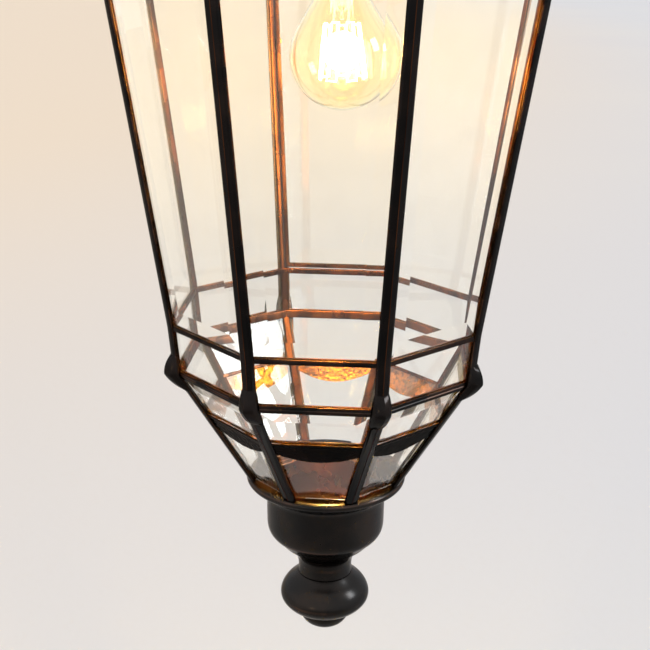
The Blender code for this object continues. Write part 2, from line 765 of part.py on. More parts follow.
def make_hanger(metal, brass):
    """Ring, screwed eye and the nut that clamps the eye under the cap."""
    ring = add_object("hanging_ring", torus("hanging_ring", RING_RADIUS, RING_WIRE, 32, 8), metal)
    pivot = bpy.data.objects.new("ring_pivot", None)
    bpy.context.collection.objects.link(pivot)
    pivot.location.z = -2 * RING_RADIUS + RING_WIRE
    ring.parent = pivot
    ring.location.z = RING_RADIUS
    shank_profile = millimetres([
        (0, -76), (3.6, -76), (4.0, -75.4), (4.0, -57.7), (8.2, -57.7), (8.2, -56.8), (6.2, -55.4),
        (3.4, -53.6), (0, -53.6),
    ])
    eye = add_object("hanging_eye", turned_solid("hanging_eye", shank_profile, 18), metal)
    loop = add_object("eye_loop", torus("eye_loop", EYE_RADIUS, EYE_WIRE, 20, 8))
    loop.rotation_euler.z = math.pi / 2
    loop.location.z = EYE_Z
    join(eye, loop)
    stations = []
    for step in range(6):
        section = millimetres([(5.0, -66), (8.4, -66), (8.4, -61), (5.0, -61)])
        stations.append([polar(r, 2 * math.pi * step / 6, z) for r, z in section])
    add_object("eye_nut", loft("eye_nut", stations, closed=True), brass)


def make_gland(brass):
    """Cable gland beside the eye: flange on the cap, stem through it, bore for the flex."""
    profile = millimetres([
        (4.0, -68), (5.0, -68), (5.0, -58.4), (7.3, -58.4), (7.3, -55), (6.2, -54), (6.2, -49.8), (4.0, -49.8),
    ])
    gland = add_object("cable_gland", turned("cable_gland", profile, 18), brass)
    gland.location.x = GLAND_X


# ---------------------------------------------------------------- lamp

def lamp_frame():
    """An empty at the bridge; the lamp hangs from it with a slight lean towards +X."""
    frame = bpy.data.objects.new("lamp_frame", None)
    bpy.context.collection.objects.link(frame)
    frame.location.z = BRIDGE_Z
    frame.rotation_euler.y = -LAMP_LEAN
    return frame


def bulb_outline(wall):
    """Half of the pear-shaped envelope from neck to tip, in metres, drawn in by a wall."""
    centre = BULB_TIP + BULB_RADIUS
    neck = millimetres([(11.6, -166), (11.6, -176), (12.4, -182), (15.2, -190), (20.5, -200)])
    points = [(r - wall, z) for r, z in neck]
    for r, up in arc((0, 0), BULB_RADIUS - wall, 30, -80, 7):
        points.append((r, centre + up))
    return points


def make_lampholder(parent, brass, black):
    stem = millimetres([
        (3.4, 4.5), (8.4, 4.5), (8.4, 0.7), (5, 0.7), (5, -116), (3.4, -116),
    ])
    cap = millimetres([
        (5.3, -108), (8, -108), (8.6, -110), (8.8, -114), (12, -117), (17, -121), (19.3, -126),
        (19.6, -139.4), (18, -139.4), (17.7, -127), (15.8, -123), (11, -119), (5.3, -118),
    ])
    skirt = millimetres([
        (18, -139.7), (19.9, -139.7), (20.3, -141), (20.3, -145), (19.4, -147), (18.6, -172),
        (17.8, -176), (15, -176), (15, -174.5), (17.7, -173), (18, -141),
    ])
    insert = millimetres([
        (2, -141), (17.4, -141), (17.4, -172), (13.7, -172), (13.7, -146), (2, -146),
    ])
    pieces = [
        add_object("lamp_stem", turned("lamp_stem", stem, 16), brass),
        add_object("lampholder_cap", turned("lampholder_cap", cap, 24), brass),
        add_object("lampholder_skirt", turned("lampholder_skirt", skirt, 24), brass),
        add_object("lampholder_insert", turned("lampholder_insert", insert, 24), black),
    ]
    for piece in pieces:
        piece.parent = parent


def make_bulb(parent, glass, brass, filament):
    outer = bulb_outline(0)
    inner = bulb_outline(0.9 * MM)
    tip = [(0, BULB_TIP)]
    inner_tip = [(0, BULB_TIP + 0.9 * MM)]
    profile = inner_tip + list(reversed(inner)) + outer + tip
    cap = millimetres([
        (0, -149), (4.5, -149), (5.5, -151), (11.5, -153.5), (13.2, -155.5), (13.2, -175),
        (12.8, -178), (12.1, -178), (12.1, -156), (10, -154.8), (0, -153),
    ])
    mount = millimetres([
        (0, -165), (4, -165), (4, -176), (2.6, -180), (2.4, -196), (0.9, -199), (0.9, -214),
        (2.2, -215), (2.2, -217), (0, -218),
    ])
    pieces = [
        add_object("bulb_glass", turned_solid("bulb_glass", profile, 18), glass),
        add_object("bulb_cap", turned_solid("bulb_cap", cap, 22), brass),
        add_object("bulb_filament_mount", turned_solid("bulb_filament_mount", mount, 12), filament),
    ]
    for piece in pieces:
        piece.parent = parent


# ---------------------------------------------------------------- the whole lantern

def make_lantern():
    clear_scene()
    bronze = material("aged_bronze", (0.045, 0.032, 0.025), 0.35, 1.0)
    brass = material("plain_brass", (0.55, 0.38, 0.18), 0.35, 1.0)
    glass = material("clear_glass", (0.95, 0.97, 0.96), 0.03, 0.0, 1.0)
    bulb_glass = material("bulb_glass", (1.0, 0.93, 0.72), 0.03, 0.0, 1.0)
    black = material("black_insulator", (0.02, 0.02, 0.02), 0.5, 0.0)
    filament = material("filament", (1.0, 0.72, 0.3), 0.4, 0.0)

    make_panes(glass)
    make_shoulder_rail(bronze)
    make_upper_rail(bronze)
    make_knuckle_rail(bronze)
    make_swags(bronze)
    bars = make_bars(bronze)
    door = make_door(bronze, glass)
    make_hinges(bars[DOOR_FACE], door, brass)
    make_latch(bars[DOOR_FACE + 1], door, brass)
    make_foot(bronze, brass)
    make_roof(bronze)
    make_crown(bronze)
    make_hanger(bronze, brass)
    make_gland(brass)
    lamp = lamp_frame()
    make_lampholder(lamp, brass, black)
    make_bulb(lamp, bulb_glass, brass, filament)


make_lantern()
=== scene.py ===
"""Looks of the octagonal hanging lantern: patinated brass cage, bevelled glass and lit bulb.

Metres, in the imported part's own frame. Heights and radii are read from the part's boxes.
On a glass flat, d runs along it from the corner line, h stands out from the glass mid-plane
and q runs down its slope.
"""

import math

import bmesh
import bpy
from mathutils import Matrix, Vector, noise


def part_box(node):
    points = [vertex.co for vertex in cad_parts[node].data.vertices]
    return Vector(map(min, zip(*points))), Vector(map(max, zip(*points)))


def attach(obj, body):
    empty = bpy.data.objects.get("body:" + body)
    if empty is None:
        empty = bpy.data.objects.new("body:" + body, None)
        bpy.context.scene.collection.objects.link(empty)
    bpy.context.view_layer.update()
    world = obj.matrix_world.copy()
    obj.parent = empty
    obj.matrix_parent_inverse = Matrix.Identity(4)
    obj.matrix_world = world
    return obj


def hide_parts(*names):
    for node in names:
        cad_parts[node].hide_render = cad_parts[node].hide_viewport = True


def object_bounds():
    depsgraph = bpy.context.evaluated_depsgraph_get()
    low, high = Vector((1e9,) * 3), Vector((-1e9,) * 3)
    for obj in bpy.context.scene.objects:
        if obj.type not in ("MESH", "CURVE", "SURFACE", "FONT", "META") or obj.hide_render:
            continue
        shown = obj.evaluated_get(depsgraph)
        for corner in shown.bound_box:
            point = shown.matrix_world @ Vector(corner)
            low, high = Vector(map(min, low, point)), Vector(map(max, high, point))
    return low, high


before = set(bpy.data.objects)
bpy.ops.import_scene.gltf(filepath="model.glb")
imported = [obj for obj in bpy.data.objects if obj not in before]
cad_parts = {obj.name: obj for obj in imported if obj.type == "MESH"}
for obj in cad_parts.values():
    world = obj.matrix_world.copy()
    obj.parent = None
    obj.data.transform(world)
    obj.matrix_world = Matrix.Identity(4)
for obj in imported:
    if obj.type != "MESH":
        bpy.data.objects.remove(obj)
cad_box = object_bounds()

MM = 0.001
SIDES = 8
HALF_TURN = math.pi / SIDES
COS = math.cos(HALF_TURN)
TAN = math.tan(HALF_TURN)
DOOR_FACE = 2

# ---- how far each rail or lip stands out of the glass line ----
SHOULDER_PROUD = 6.6 * MM
UPPER_RAIL_PROUD = 1.8 * MM
KNUCKLE_RAIL_PROUD = 2.0 * MM
LIP_PROUD = 3.3 * MM
SHOULDER_RISE = 6 * MM       # from the shoulder line up to the rail's top

# ---- sizes that the boxes don't give ----
HALF_GLASS = 0.6 * MM
BEVEL_WIDTH = 11 * MM
BEVEL_RISE = 0.8 * MM
LOWER_BEVEL_WIDTH = 8.5 * MM
ARRIS = 0.15 * MM
GAP = 0.3 * MM
WEB = 1.6 * MM
BAR_CREST = 3.1
KNUCKLE_RISE = 3.7
KNUCKLE_HALF_HEIGHT = 11.5 * MM
GROOVE_HALF = 0.55 * MM
DOOR_JAMB = 1.2
DOOR_STILE = 1.6 * MM
HINGE_D = 1.4 * MM
HINGE_H = 5.6 * MM
HINGE_ABOVE_RAIL = (50 * MM, 250 * MM)
LUG_HEIGHT = 6 * MM
LUG_RADIUS = 2.2 * MM
PIN_RADIUS = 0.9 * MM
LATCH_ABOVE_RAIL = 150 * MM
LATCH_REACH = 10.5 * MM
LATCH_SIDE = 3.0 * MM
SWAG_DOWN = 30 * MM
SWAG_SHALLOW = 7.4 * MM
SWAG_DROOP = 9.0 * MM
CUP_BORE = 36.2 * MM
CUP_FLOOR_DOWN = 142 * MM
CUP_LIP = 47.5 * MM
LAMP_LEAN = math.radians(1.8)
DOOR_SLOT = 1.6 * MM
LOWER_GAP = 0.5 * MM
FLOOR_DROP = 0.9

# ---- how far a pane's ends stay from the rail lines below and above it ----
LONG_ENDS = (1.1 * MM, 2.2 * MM)
DOOR_ENDS = (4.25 * MM, 5.65 * MM)
BAND_ENDS = (1.5 * MM, 1.1 * MM)
LOWER_ENDS = (1.5 * MM, 2.2 * MM)

# ---- finish numbers that materials share ----
DULL_GLINT = (0.35, 0.32, 0.30, 1)     # the bronze's reflections at a low angle
LAMP_COLOUR = (1.0, 0.72, 0.38)


def mid_height(node):
    low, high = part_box(node)
    return (low.z + high.z) / 2


def glass_corner(node, proud):
    """Corner radius of the glass mid-plane at an eight-sided rail."""
    return (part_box(node)[1].x - proud) / COS


Z_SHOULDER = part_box("shoulder_rail")[1].z - SHOULDER_RISE
Z_UPPER_RAIL = mid_height("upper_rail")
Z_KNUCKLE = mid_height("knuckle_rail")
Z_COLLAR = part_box("bottom_collar")[1].z
R_SHOULDER = glass_corner("shoulder_rail", SHOULDER_PROUD)
R_UPPER_RAIL = glass_corner("upper_rail", UPPER_RAIL_PROUD)
R_KNUCKLE = glass_corner("knuckle_rail", KNUCKLE_RAIL_PROUD)
R_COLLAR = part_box("bottom_collar")[1].x - LIP_PROUD
BRIDGE_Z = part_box("crown_collar")[0].z + 2 * MM
GLASS_LINE = (
    (Z_COLLAR, R_COLLAR), (Z_KNUCKLE, R_KNUCKLE), (Z_UPPER_RAIL, R_UPPER_RAIL), (Z_SHOULDER, R_SHOULDER),
)


# ======== node materials

class Paint:
    """A material and a short way to add nodes to it."""

    def __init__(self, name):
        self.made = bpy.data.materials.new(name)
        self.made.use_nodes = True
        self.tree = self.made.node_tree
        self.shader = self.tree.nodes["Principled BSDF"]
        self.output = self.tree.nodes["Material Output"]
        self.place = self.add("ShaderNodeTexCoord").outputs["Object"]

    def add(self, kind, inputs=None, **settings):
        """A node with settings, and values or sockets fed to its inputs by name or number."""
        node = self.tree.nodes.new(kind)
        for key, value in settings.items():
            setattr(node, key, value)
        for key, value in (inputs or {}).items():
            self.feed(node.inputs[key], value)
        return node

    def feed(self, socket, value):
        if isinstance(value, bpy.types.NodeSocket):
            self.tree.links.new(value, socket)
        else:
            socket.default_value = value

    def set(self, **values):
        """Sets or links the Principled shader's sockets, named with _ for a space."""
        for key, value in values.items():
            self.feed(self.shader.inputs[key.replace("_", " ")], value)

    def noise(self, scale, detail=3.0, stretch=(1, 1, 1)):
        place = self.add("ShaderNodeMapping", {"Scale": stretch, "Vector": self.place}).outputs[0]
        inputs = {"Scale": scale, "Detail": detail, "Vector": place}
        return self.add("ShaderNodeTexNoise", inputs).outputs["Fac"]

    def cells(self, scale):
        inputs = {"Scale": scale, "Vector": self.place}
        return self.add("ShaderNodeTexVoronoi", inputs, feature="SMOOTH_F1").outputs["Distance"]

    def spread(self, value, low, high, to_low=0.0, to_high=1.0):
        """Maps low..high to to_low..to_high, smoothly and clamped."""
        inputs = {"Value": value, "From Min": low, "From Max": high, "To Min": to_low, "To Max": to_high}
        return self.add("ShaderNodeMapRange", inputs, interpolation_type="SMOOTHSTEP").outputs[0]

    def maths(self, operation, first, second):
        return self.add("ShaderNodeMath", {0: first, 1: second}, operation=operation).outputs[0]

    def blend(self, share, first, second):
        """A colour between two colours or sockets."""
        node = self.add("ShaderNodeMix", {"Factor": share}, data_type="RGBA")
        for name, value in (("A", first), ("B", second)):
            socket = [s for s in node.inputs if s.name == name and s.type == "RGBA"][0]
            self.feed(socket, (*value, 1) if isinstance(value, tuple) else value)
        return [s for s in node.outputs if s.type == "RGBA"][0]

    def vary(self, value, low, high, first, second):
        """The colour that goes from first to second while value goes from low to high."""
        return self.blend(self.spread(value, low, high), first, second)

    def distance(self, place, point):
        inputs = {0: place, 1: point}
        return self.add("ShaderNodeVectorMath", inputs, operation="DISTANCE").outputs["Value"]

    def attribute(self, name):
        return self.add("ShaderNodeAttribute", attribute_name=name).outputs["Fac"]

    def bump(self, height, strength, distance, under=None):
        inputs = {"Strength": strength, "Distance": distance, "Height": height}
        if under is not None:
            inputs["Normal"] = under
        return self.add("ShaderNodeBump", inputs).outputs[0]

    def lets_lamps_through(self, tint):
        """Lamp light passes the glass as a tint in place of a black shadow."""
        shadow = self.add("ShaderNodeLightPath").outputs["Is Shadow Ray"]
        clear = self.add("ShaderNodeBsdfTransparent", {"Color": (*tint, 1)}).outputs[0]
        mix = self.add("ShaderNodeMixShader", {"Fac": shadow, 1: self.shader.outputs[0], 2: clear})
        self.feed(self.output.inputs["Surface"], mix.outputs[0])


def patinate(paint, tone, blacks, rub, copper, inside, relief, rough, coat):
    """Near-black lacquered patina; thin copper tone where the attribute "inside" is 1, partly painted lamp
    light on faces turned to the bulb.

    rub is where wear on the edges starts and is full, its strength and its colour. coat is where
    the lacquer ends, its strength and its roughness.
    """
    outer = paint.vary(tone, 0.35, 0.7, *blacks)
    if rub:
        start, full, strength, worn = rub
        edges = paint.add("ShaderNodeNewGeometry").outputs["Pointiness"]
        where = paint.spread(tone, 0.4, 0.6, 0, strength)
        outer = paint.blend(paint.maths("MULTIPLY", paint.spread(edges, start, full), where), outer, worn)
    # share: the copper inner finish, partly painted lamp light on faces turned to the bulb
    share = paint.attribute("inside")
    paint.set(
        Base_Color=paint.blend(paint.spread(share, *inside), outer, copper),
        Metallic=1.0,
        Roughness=paint.spread(tone, 0.3, 0.75, *rough),
        Specular_Tint=DULL_GLINT,
        Coat_Weight=paint.spread(share, 0.0, coat[0], coat[1], 0.0),
        Coat_Roughness=coat[2],
        Normal=relief,
    )
    return paint.made


def bronze_paint(name, hammered=False):
    """Bars, rails and roof, or the swags, whose copper side is brighter and pitted; the copper side is partly
    painted lamp light.
    """
    paint = Paint(name)
    tone = paint.noise(45, 4)
    blacks = (0.0045, 0.0038, 0.0035), (0.015, 0.0095, 0.0075)
    relief = paint.bump(tone, 0.12, 0.6 * MM, paint.bump(paint.noise(900, 2), 0.06, 0.3 * MM))
    if hammered:
        # bright copper of the swags' lamp side, partly painted lamp light
        copper = paint.vary(tone, 0.3, 0.7, (0.18, 0.052, 0.004), (0.62, 0.22, 0.015))
        spots = paint.spread(paint.noise(420, 3), 0.5, 0.62, 0, 0.7)
        pits = paint.maths("MULTIPLY", paint.cells(520), paint.attribute("inside"))
        relief = paint.bump(pits, 0.6, 0.9 * MM, relief)
        rub, coat = None, (0.1, 0.1, 0.12)
    else:
        streak = paint.noise(120, 3, (1, 1, 0.08))
        copper = paint.vary(streak, 0.35, 0.65, (0.04, 0.015, 0.008), (0.16, 0.055, 0.020))
        spots = paint.spread(tone, 0.55, 0.75, 0, 0.4)
        rub, coat = (0.54, 0.64, 0.6, (0.085, 0.042, 0.026)), (0.1, 0.22, 0.12)
    spotted = paint.blend(spots, copper, (0.055, 0.024, 0.012))
    return patinate(paint, tone, blacks, rub, spotted, (0.02, 0.98), relief, (0.22, 0.36), coat)


def turned_paint(name):
    """Lathe work: faint rings from the tool, and copper inside the cup, partly painted lamp light."""
    paint = Paint(name)
    tone = paint.noise(38, 4)
    blacks = (0.0065, 0.0056, 0.005), (0.024, 0.0155, 0.0105)
    rub = (0.53, 0.62, 0.5, (0.10, 0.052, 0.033))
    copper = paint.vary(tone, 0.3, 0.7, (0.13, 0.066, 0.042), (0.22, 0.115, 0.07))
    rings = paint.bump(paint.noise(320, 1, (0.01, 0.01, 1)), 0.05, 0.3 * MM)
    relief = paint.bump(tone, 0.08, 0.6 * MM, rings)
    return patinate(paint, tone, blacks, rub, copper, (0.3, 0.9), relief, (0.24, 0.32), (0.4, 0.4, 0.24))


def brass_paint(name):
    """Dull brass with brown tarnish gathered in soft patches."""
    paint = Paint(name)
    patches = paint.noise(90, 5)
    grain = paint.noise(650, 2)
    clean = paint.vary(grain, 0.35, 0.65, (0.46, 0.30, 0.13), (0.58, 0.40, 0.18))
    paint.set(
        Base_Color=paint.vary(patches, 0.42, 0.66, clean, (0.16, 0.095, 0.045)),
        Metallic=1.0,
        Roughness=paint.spread(patches, 0.3, 0.7, 0.22, 0.42),
        Normal=paint.bump(grain, 0.12, 0.2 * MM),
    )
    return paint.made


def glass_paint(name, tint, smear, film, glow=None):
    """Clear glass with faint smears; film is the share of dust that catches the lamp's light."""
    paint = Paint(name)
    dust = paint.noise(60, 5)
    paint.set(
        Base_Color=paint.vary(dust, 0.4, 0.7, tint, tuple(c * 0.985 for c in tint)),
        Roughness=paint.spread(dust, 0.45, 0.75, 0.0, smear),
        IOR=1.52,
        Transmission_Weight=1 - film,
    )
    if film:
        paint.set(Normal=paint.bump(paint.noise(14, 1), 0.03, 1.0 * MM))
    if glow:
        paint.set(Emission_Color=(*glow[0], 1), Emission_Strength=glow[1])
    paint.lets_lamps_through(tuple(c ** 2 for c in tint))
    return paint.made


def filament_paint(name):
    """Glowing wire, its metal a little mottled."""
    paint = Paint(name)
    scale = paint.spread(paint.noise(160, 2), 0.3, 0.7)
    paint.set(
        Base_Color=paint.blend(scale, (0.34, 0.28, 0.22), (0.20, 0.17, 0.15)),
        Roughness=paint.spread(scale, 0.0, 1.0, 0.5, 0.7),
        Emission_Color=(1.0, 0.72, 0.36, 1),
        Emission_Strength=60.0,
    )
    return paint.made


def insulator_paint(name):
    """Black moulded insulator with a dull, faintly speckled skin."""
    paint = Paint(name)
    speck = paint.noise(800, 2)
    paint.set(
        Base_Color=paint.vary(speck, 0.5, 0.7, (0.014, 0.013, 0.013), (0.035, 0.032, 0.03)),
        Roughness=paint.spread(speck, 0.3, 0.7, 0.4, 0.6),
        Normal=paint.bump(speck, 0.15, 0.2 * MM),
    )
    return paint.made


# ======== mesh helpers

def polar(radius, angle, z):
    return Vector((radius * math.cos(angle), radius * math.sin(angle), z))


def turns(steps):
    """Angles in equal steps round a circle."""
    return [2 * math.pi * step / steps for step in range(steps)]


def moved(x=0, y=0, z=0):
    return Matrix.Translation(Vector((x, y, z)))


def axes(x, y, z, origin):
    """The matrix with these axes at an origin."""
    made = Matrix((x, y, z)).transposed().to_4x4()
    made.translation = origin
    return made


def placed(name, data):
    """A new object in the scene."""
    item = bpy.data.objects.new(name, data)
    bpy.context.scene.collection.objects.link(item)
    return item


def mesh_from(name, points, faces):
    """A closed mesh with its faces pointing out."""
    mesh = bpy.data.meshes.new(name)
    mesh.from_pydata([tuple(point) for point in points], [], faces)
    shape = bmesh.new()
    shape.from_mesh(mesh)
    bmesh.ops.recalc_face_normals(shape, faces=shape.faces)
    shape.to_mesh(mesh)
    shape.free()
    return mesh


def loft(name, stations, closed=False):
    """Joins equal outlines in order, with end caps unless it closes on itself."""
    size = len(stations[0])
    points = [point for outline in stations for point in outline]
    faces = []
    for step in range(len(stations) if closed else len(stations) - 1):
        here = step * size
        there = (step + 1) % len(stations) * size
        for i in range(size):
            j = (i + 1) % size
            faces.append((here + i, here + j, there + j, there + i))
    if not closed:
        faces.append(tuple(range(size)))
        faces.append(tuple(range(len(points) - size, len(points))))
    return mesh_from(name, points, faces)


def rounded(outline, radius, steps=3, closed=True):
    """An outline whose corners are rounded, each as far as its sides allow."""
    points = []
    count = len(outline)
    for i, here in enumerate(outline):
        if not closed and i in (0, count - 1):
            points.append(Vector(here[:2]))
            continue
        here, before, after = [Vector(outline[k % count][:2]) for k in (i, i - 1, i + 1)]
        own = outline[i][2] if len(outline[i]) > 2 else radius
        reach = min(own, (before - here).length * 0.5, (after - here).length * 0.5)
        start = here + (before - here).normalized() * reach
        end = here + (after - here).normalized() * reach
        for step in range(steps + 1):
            t = step / steps
            points.append(start * (1 - t) ** 2 + here * 2 * t * (1 - t) + end * t ** 2)
    return points


def turned(name, profile, steps=96):
    """A closed profile of (radius, height) turned round Z."""
    stations = [[polar(p[0], angle, p[1]) for p in profile] for angle in turns(steps)]
    return loft(name, stations, closed=True)


def turned_solid(name, profile, steps=96, thread=None):
    """An open profile turned round Z, whose two ends lie on the axis.

    thread is (low, high, pitch, depth): between those heights the radius follows a helix.
    """
    def radius_at(r, z, angle):
        if not thread or not thread[0] < z < thread[1]:
            return r
        low, high, pitch, depth = thread
        fade = min(1, (z - low) / (0.6 * pitch), (high - z) / (0.6 * pitch))
        return r - depth * fade * (0.5 - 0.5 * math.cos(2 * math.pi * z / pitch + angle))

    points = [Vector((0, 0, profile[0][1]))]
    for r, z in profile[1:-1]:
        points += [polar(radius_at(r, z, angle), angle, z) for angle in turns(steps)]
    points.append(Vector((0, 0, profile[-1][1])))
    last = len(points) - 1 - steps
    faces = []
    for step in range(steps):
        after = (step + 1) % steps
        faces.append((0, 1 + step, 1 + after))
        for low in range(1, last, steps):
            faces.append((low + step, low + steps + step, low + steps + after, low + after))
        faces.append((last + step, len(points) - 1, last + after))
    return mesh_from(name, points, faces)


def cylinder(radius, low, high, steps=48):
    return turned_solid("cylinder", [(0, low), (radius, low), (radius, high), (0, high)], steps)


def lathe_mesh(name, profile, bend, bend_steps, steps, up=0, solid=False):
    """A profile in millimetres set at a height, its corners rounded by bend, turned round Z."""
    outline = rounded(millimetres(profile, up), bend * MM, bend_steps, not solid)
    return (turned_solid if solid else turned)(name, outline, steps)


def swept(name, path, radius, sides=8, closed=False):
    """Round wire along a path of points, its section carried without twist."""
    stations = []
    side = None
    count = len(path)
    for i, point in enumerate(path):
        before = path[i - 1] if closed or i else point
        after = path[(i + 1) % count] if closed or i < count - 1 else point
        along = (after - before).normalized()
        side = (side or along.orthogonal()) - along * along.dot(side or along.orthogonal())
        side.normalize()
        other = along.cross(side)
        stations.append([
            point + (side * math.cos(angle) + other * math.sin(angle)) * radius for angle in turns(sides)
        ])
    return loft(name, stations, closed)


def joined(name, meshes):
    """Several closed shells in one mesh."""
    shape = bmesh.new()
    for mesh in meshes:
        shape.from_mesh(mesh)
        bpy.data.meshes.remove(mesh)
    made = bpy.data.meshes.new(name)
    shape.to_mesh(made)
    shape.free()
    return made


def millimetres(points, up=0):
    """Points of (x, y) or (x, y, rounding) in millimetres, as metres and raised by up."""
    return [(p[0] * MM, p[1] * MM + up, *[v * MM for v in p[2:]]) for p in points]


def arc(centre, radius, start, end, steps):
    points = []
    for step in range(steps + 1):
        angle = math.radians(start + (end - start) * step / steps)
        points.append((centre[0] + radius * math.cos(angle), centre[1] + radius * math.sin(angle)))
    return points


def facing_in(centre, normal):
    """1 on faces that look towards the lamp or up, 0 on those that look out: the copper inner finish, partly
    painted lamp light on the faces the bulb lights.
    """
    outward = Vector((centre.x, centre.y, 0))
    if outward.length < 1e-6:
        return 1.0
    share = (0.5 - normal.dot(outward.normalized())) / 0.4
    # faces that look down keep only 0.35 of it, as painted shade
    return max(0.0, min(1.0, share)) * (0.35 if normal.z < -0.8 else 1.0)


def tone(mesh, rule):
    """Stores how much each face shows the copper inner finish, which is partly painted lamp light."""
    layer = mesh.attributes.new("inside", "FLOAT", "FACE")
    for face, item in zip(mesh.polygons, layer.data):
        item.value = rule(face.center, face.normal)


def all_black(centre, normal):
    """The inner finish shows nowhere."""
    return 0.0


def add_piece(mesh, finish, node, body="cage", sharp=30, rule=None):
    """Links a mesh as the piece that stands for a CAD node; finish is a material and its slot name, and the
    slot name is not used.
    """
    material, slot = finish
    if sharp:
        mesh.shade_smooth()
        mesh.set_sharp_from_angle(angle=math.radians(sharp))
    else:
        mesh.shade_flat()
    if rule:
        tone(mesh, rule)
    mesh.materials.append(material)
    piece = placed(mesh.name, mesh)
    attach(piece, body)
    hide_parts(node)
    return piece


def cut_mesh(mesh, *tools):
    """The mesh with closed tools cut from it."""
    work = placed("work", mesh)
    others = [placed("tool", tool) for tool in tools]
    for other in others:
        change = work.modifiers.new("cut", "BOOLEAN")
        change.operation = "DIFFERENCE"
        change.object = other
    bpy.context.view_layer.update()
    shape = work.evaluated_get(bpy.context.evaluated_depsgraph_get())
    made = bpy.data.meshes.new_from_object(shape)
    made.name = mesh.name
    for item in [work, *others]:
        bpy.data.objects.remove(item)
    return made


# ======== cage geometry

def glass_radius(z):
    """Corner radius of the glass mid-plane at a height."""
    span = 2 if z > Z_UPPER_RAIL else 1 if z > Z_KNUCKLE else 0
    (low, near), (high, far) = GLASS_LINE[span:span + 2]
    return near + (z - low) / (high - low) * (far - near)


def lean(z_low, z_high):
    """How far the flats between two heights lean out of the vertical."""
    return math.atan2((glass_radius(z_high) - glass_radius(z_low)) * COS, z_high - z_low)


UPPER_LEAN = lean(Z_UPPER_RAIL + MM, Z_SHOULDER)
LOWER_LEAN = lean(Z_COLLAR, Z_KNUCKLE)


def face_angle(face):
    return 2 * math.pi * face / SIDES


def corner_angle(corner):
    return 2 * math.pi * (corner - 0.5) / SIDES


def flat_frame(face, z_low, z_high):
    """Axes on a glass flat: x along it, y up its slope, z outward; origin mid-way at z_low."""
    outward = polar(1, face_angle(face), 0)
    along = polar(1, face_angle(face) + math.pi / 2, 0)
    low = outward * glass_radius(z_low) * COS + Vector((0, 0, z_low))
    high = outward * glass_radius(z_high) * COS + Vector((0, 0, z_high))
    up = (high - low).normalized()
    return axes(along, up, along.cross(up), low)


class Flat:
    """One glazed opening: a trapezium on a flat, from z_low to z_high, kept side_gap off the corners."""

    def __init__(self, face, z_low, z_high, side_gap):
        self.frame = flat_frame(face, z_low, z_high)
        self.low = glass_radius(z_low) * COS * TAN - side_gap
        self.high = glass_radius(z_high) * COS * TAN - side_gap
        self.length = math.hypot(z_high - z_low, (glass_radius(z_high) - glass_radius(z_low)) * COS)
        self.slant = (self.high - self.low) / self.length

    def corners(self, inset, h):
        """The four corners of the opening moved in by inset, at height h off the glass mid-plane."""
        side = inset * math.hypot(1, self.slant)
        ends = (inset, self.length - inset)
        low, high = [self.low + self.slant * up - side for up in ends]
        flat_points = [(-low, ends[0]), (low, ends[0]), (high, ends[1]), (-high, ends[1])]
        return [self.frame @ Vector((x, y, h)) for x, y in flat_points]


def octagon_ring(name, section, radius, z):
    """An eight-sided ring with a section of (h, height) round the glass line at a radius."""
    stations = [
        [polar(radius + p[0] / COS, corner_angle(corner), z + p[1]) for p in section]
        for corner in range(SIDES)
    ]
    return loft(name, stations, closed=True)


# ======== panes

def pane_mesh(name, opening, rim, crown, inset):
    """A pane with arrised edges, flat behind, sloping up in front from its rim to its crown."""
    rows = [
        (ARRIS, -HALF_GLASS), (0, -HALF_GLASS + ARRIS), (0, rim - ARRIS), (ARRIS, rim), (inset, crown),
    ]
    return loft(name, [opening.corners(*row) for row in rows])


def make_panes(glass):
    """Three rows of panes; on the door's flat the door's own pane takes the long pane's place."""
    bevelled = (HALF_GLASS, HALF_GLASS + BEVEL_RISE, BEVEL_WIDTH)
    plain = (HALF_GLASS - ARRIS, HALF_GLASS, 2 * ARRIS)
    ground = (HALF_GLASS - 0.5 * MM, HALF_GLASS, LOWER_BEVEL_WIDTH)
    long_span, band_span = (Z_UPPER_RAIL, Z_SHOULDER), (Z_KNUCKLE, Z_UPPER_RAIL)
    lower_span = (Z_COLLAR, Z_KNUCKLE)
    for face in range(SIDES):
        number = face + 1
        if face == DOOR_FACE:
            first = ("door_pane", "door", long_span, DOOR_ENDS, DOOR_STILE + DOOR_SLOT, bevelled)
        else:
            first = (f"long_pane_{number}", "cage", long_span, LONG_ENDS, WEB + GAP, bevelled)
        for node, body, span, ends, side_gap, profile in (
            first,
            (f"band_pane_{number}", "cage", band_span, BAND_ENDS, WEB + GAP, plain),
            (f"lower_pane_{number}", "cage", lower_span, LOWER_ENDS, WEB + LOWER_GAP, ground),
        ):
            opening = Flat(face, span[0] + ends[0], span[1] - ends[1], side_gap)
            add_piece(pane_mesh(f"glass_{node}", opening, *profile), glass, node, body, sharp=0)


# ======== rails and swags

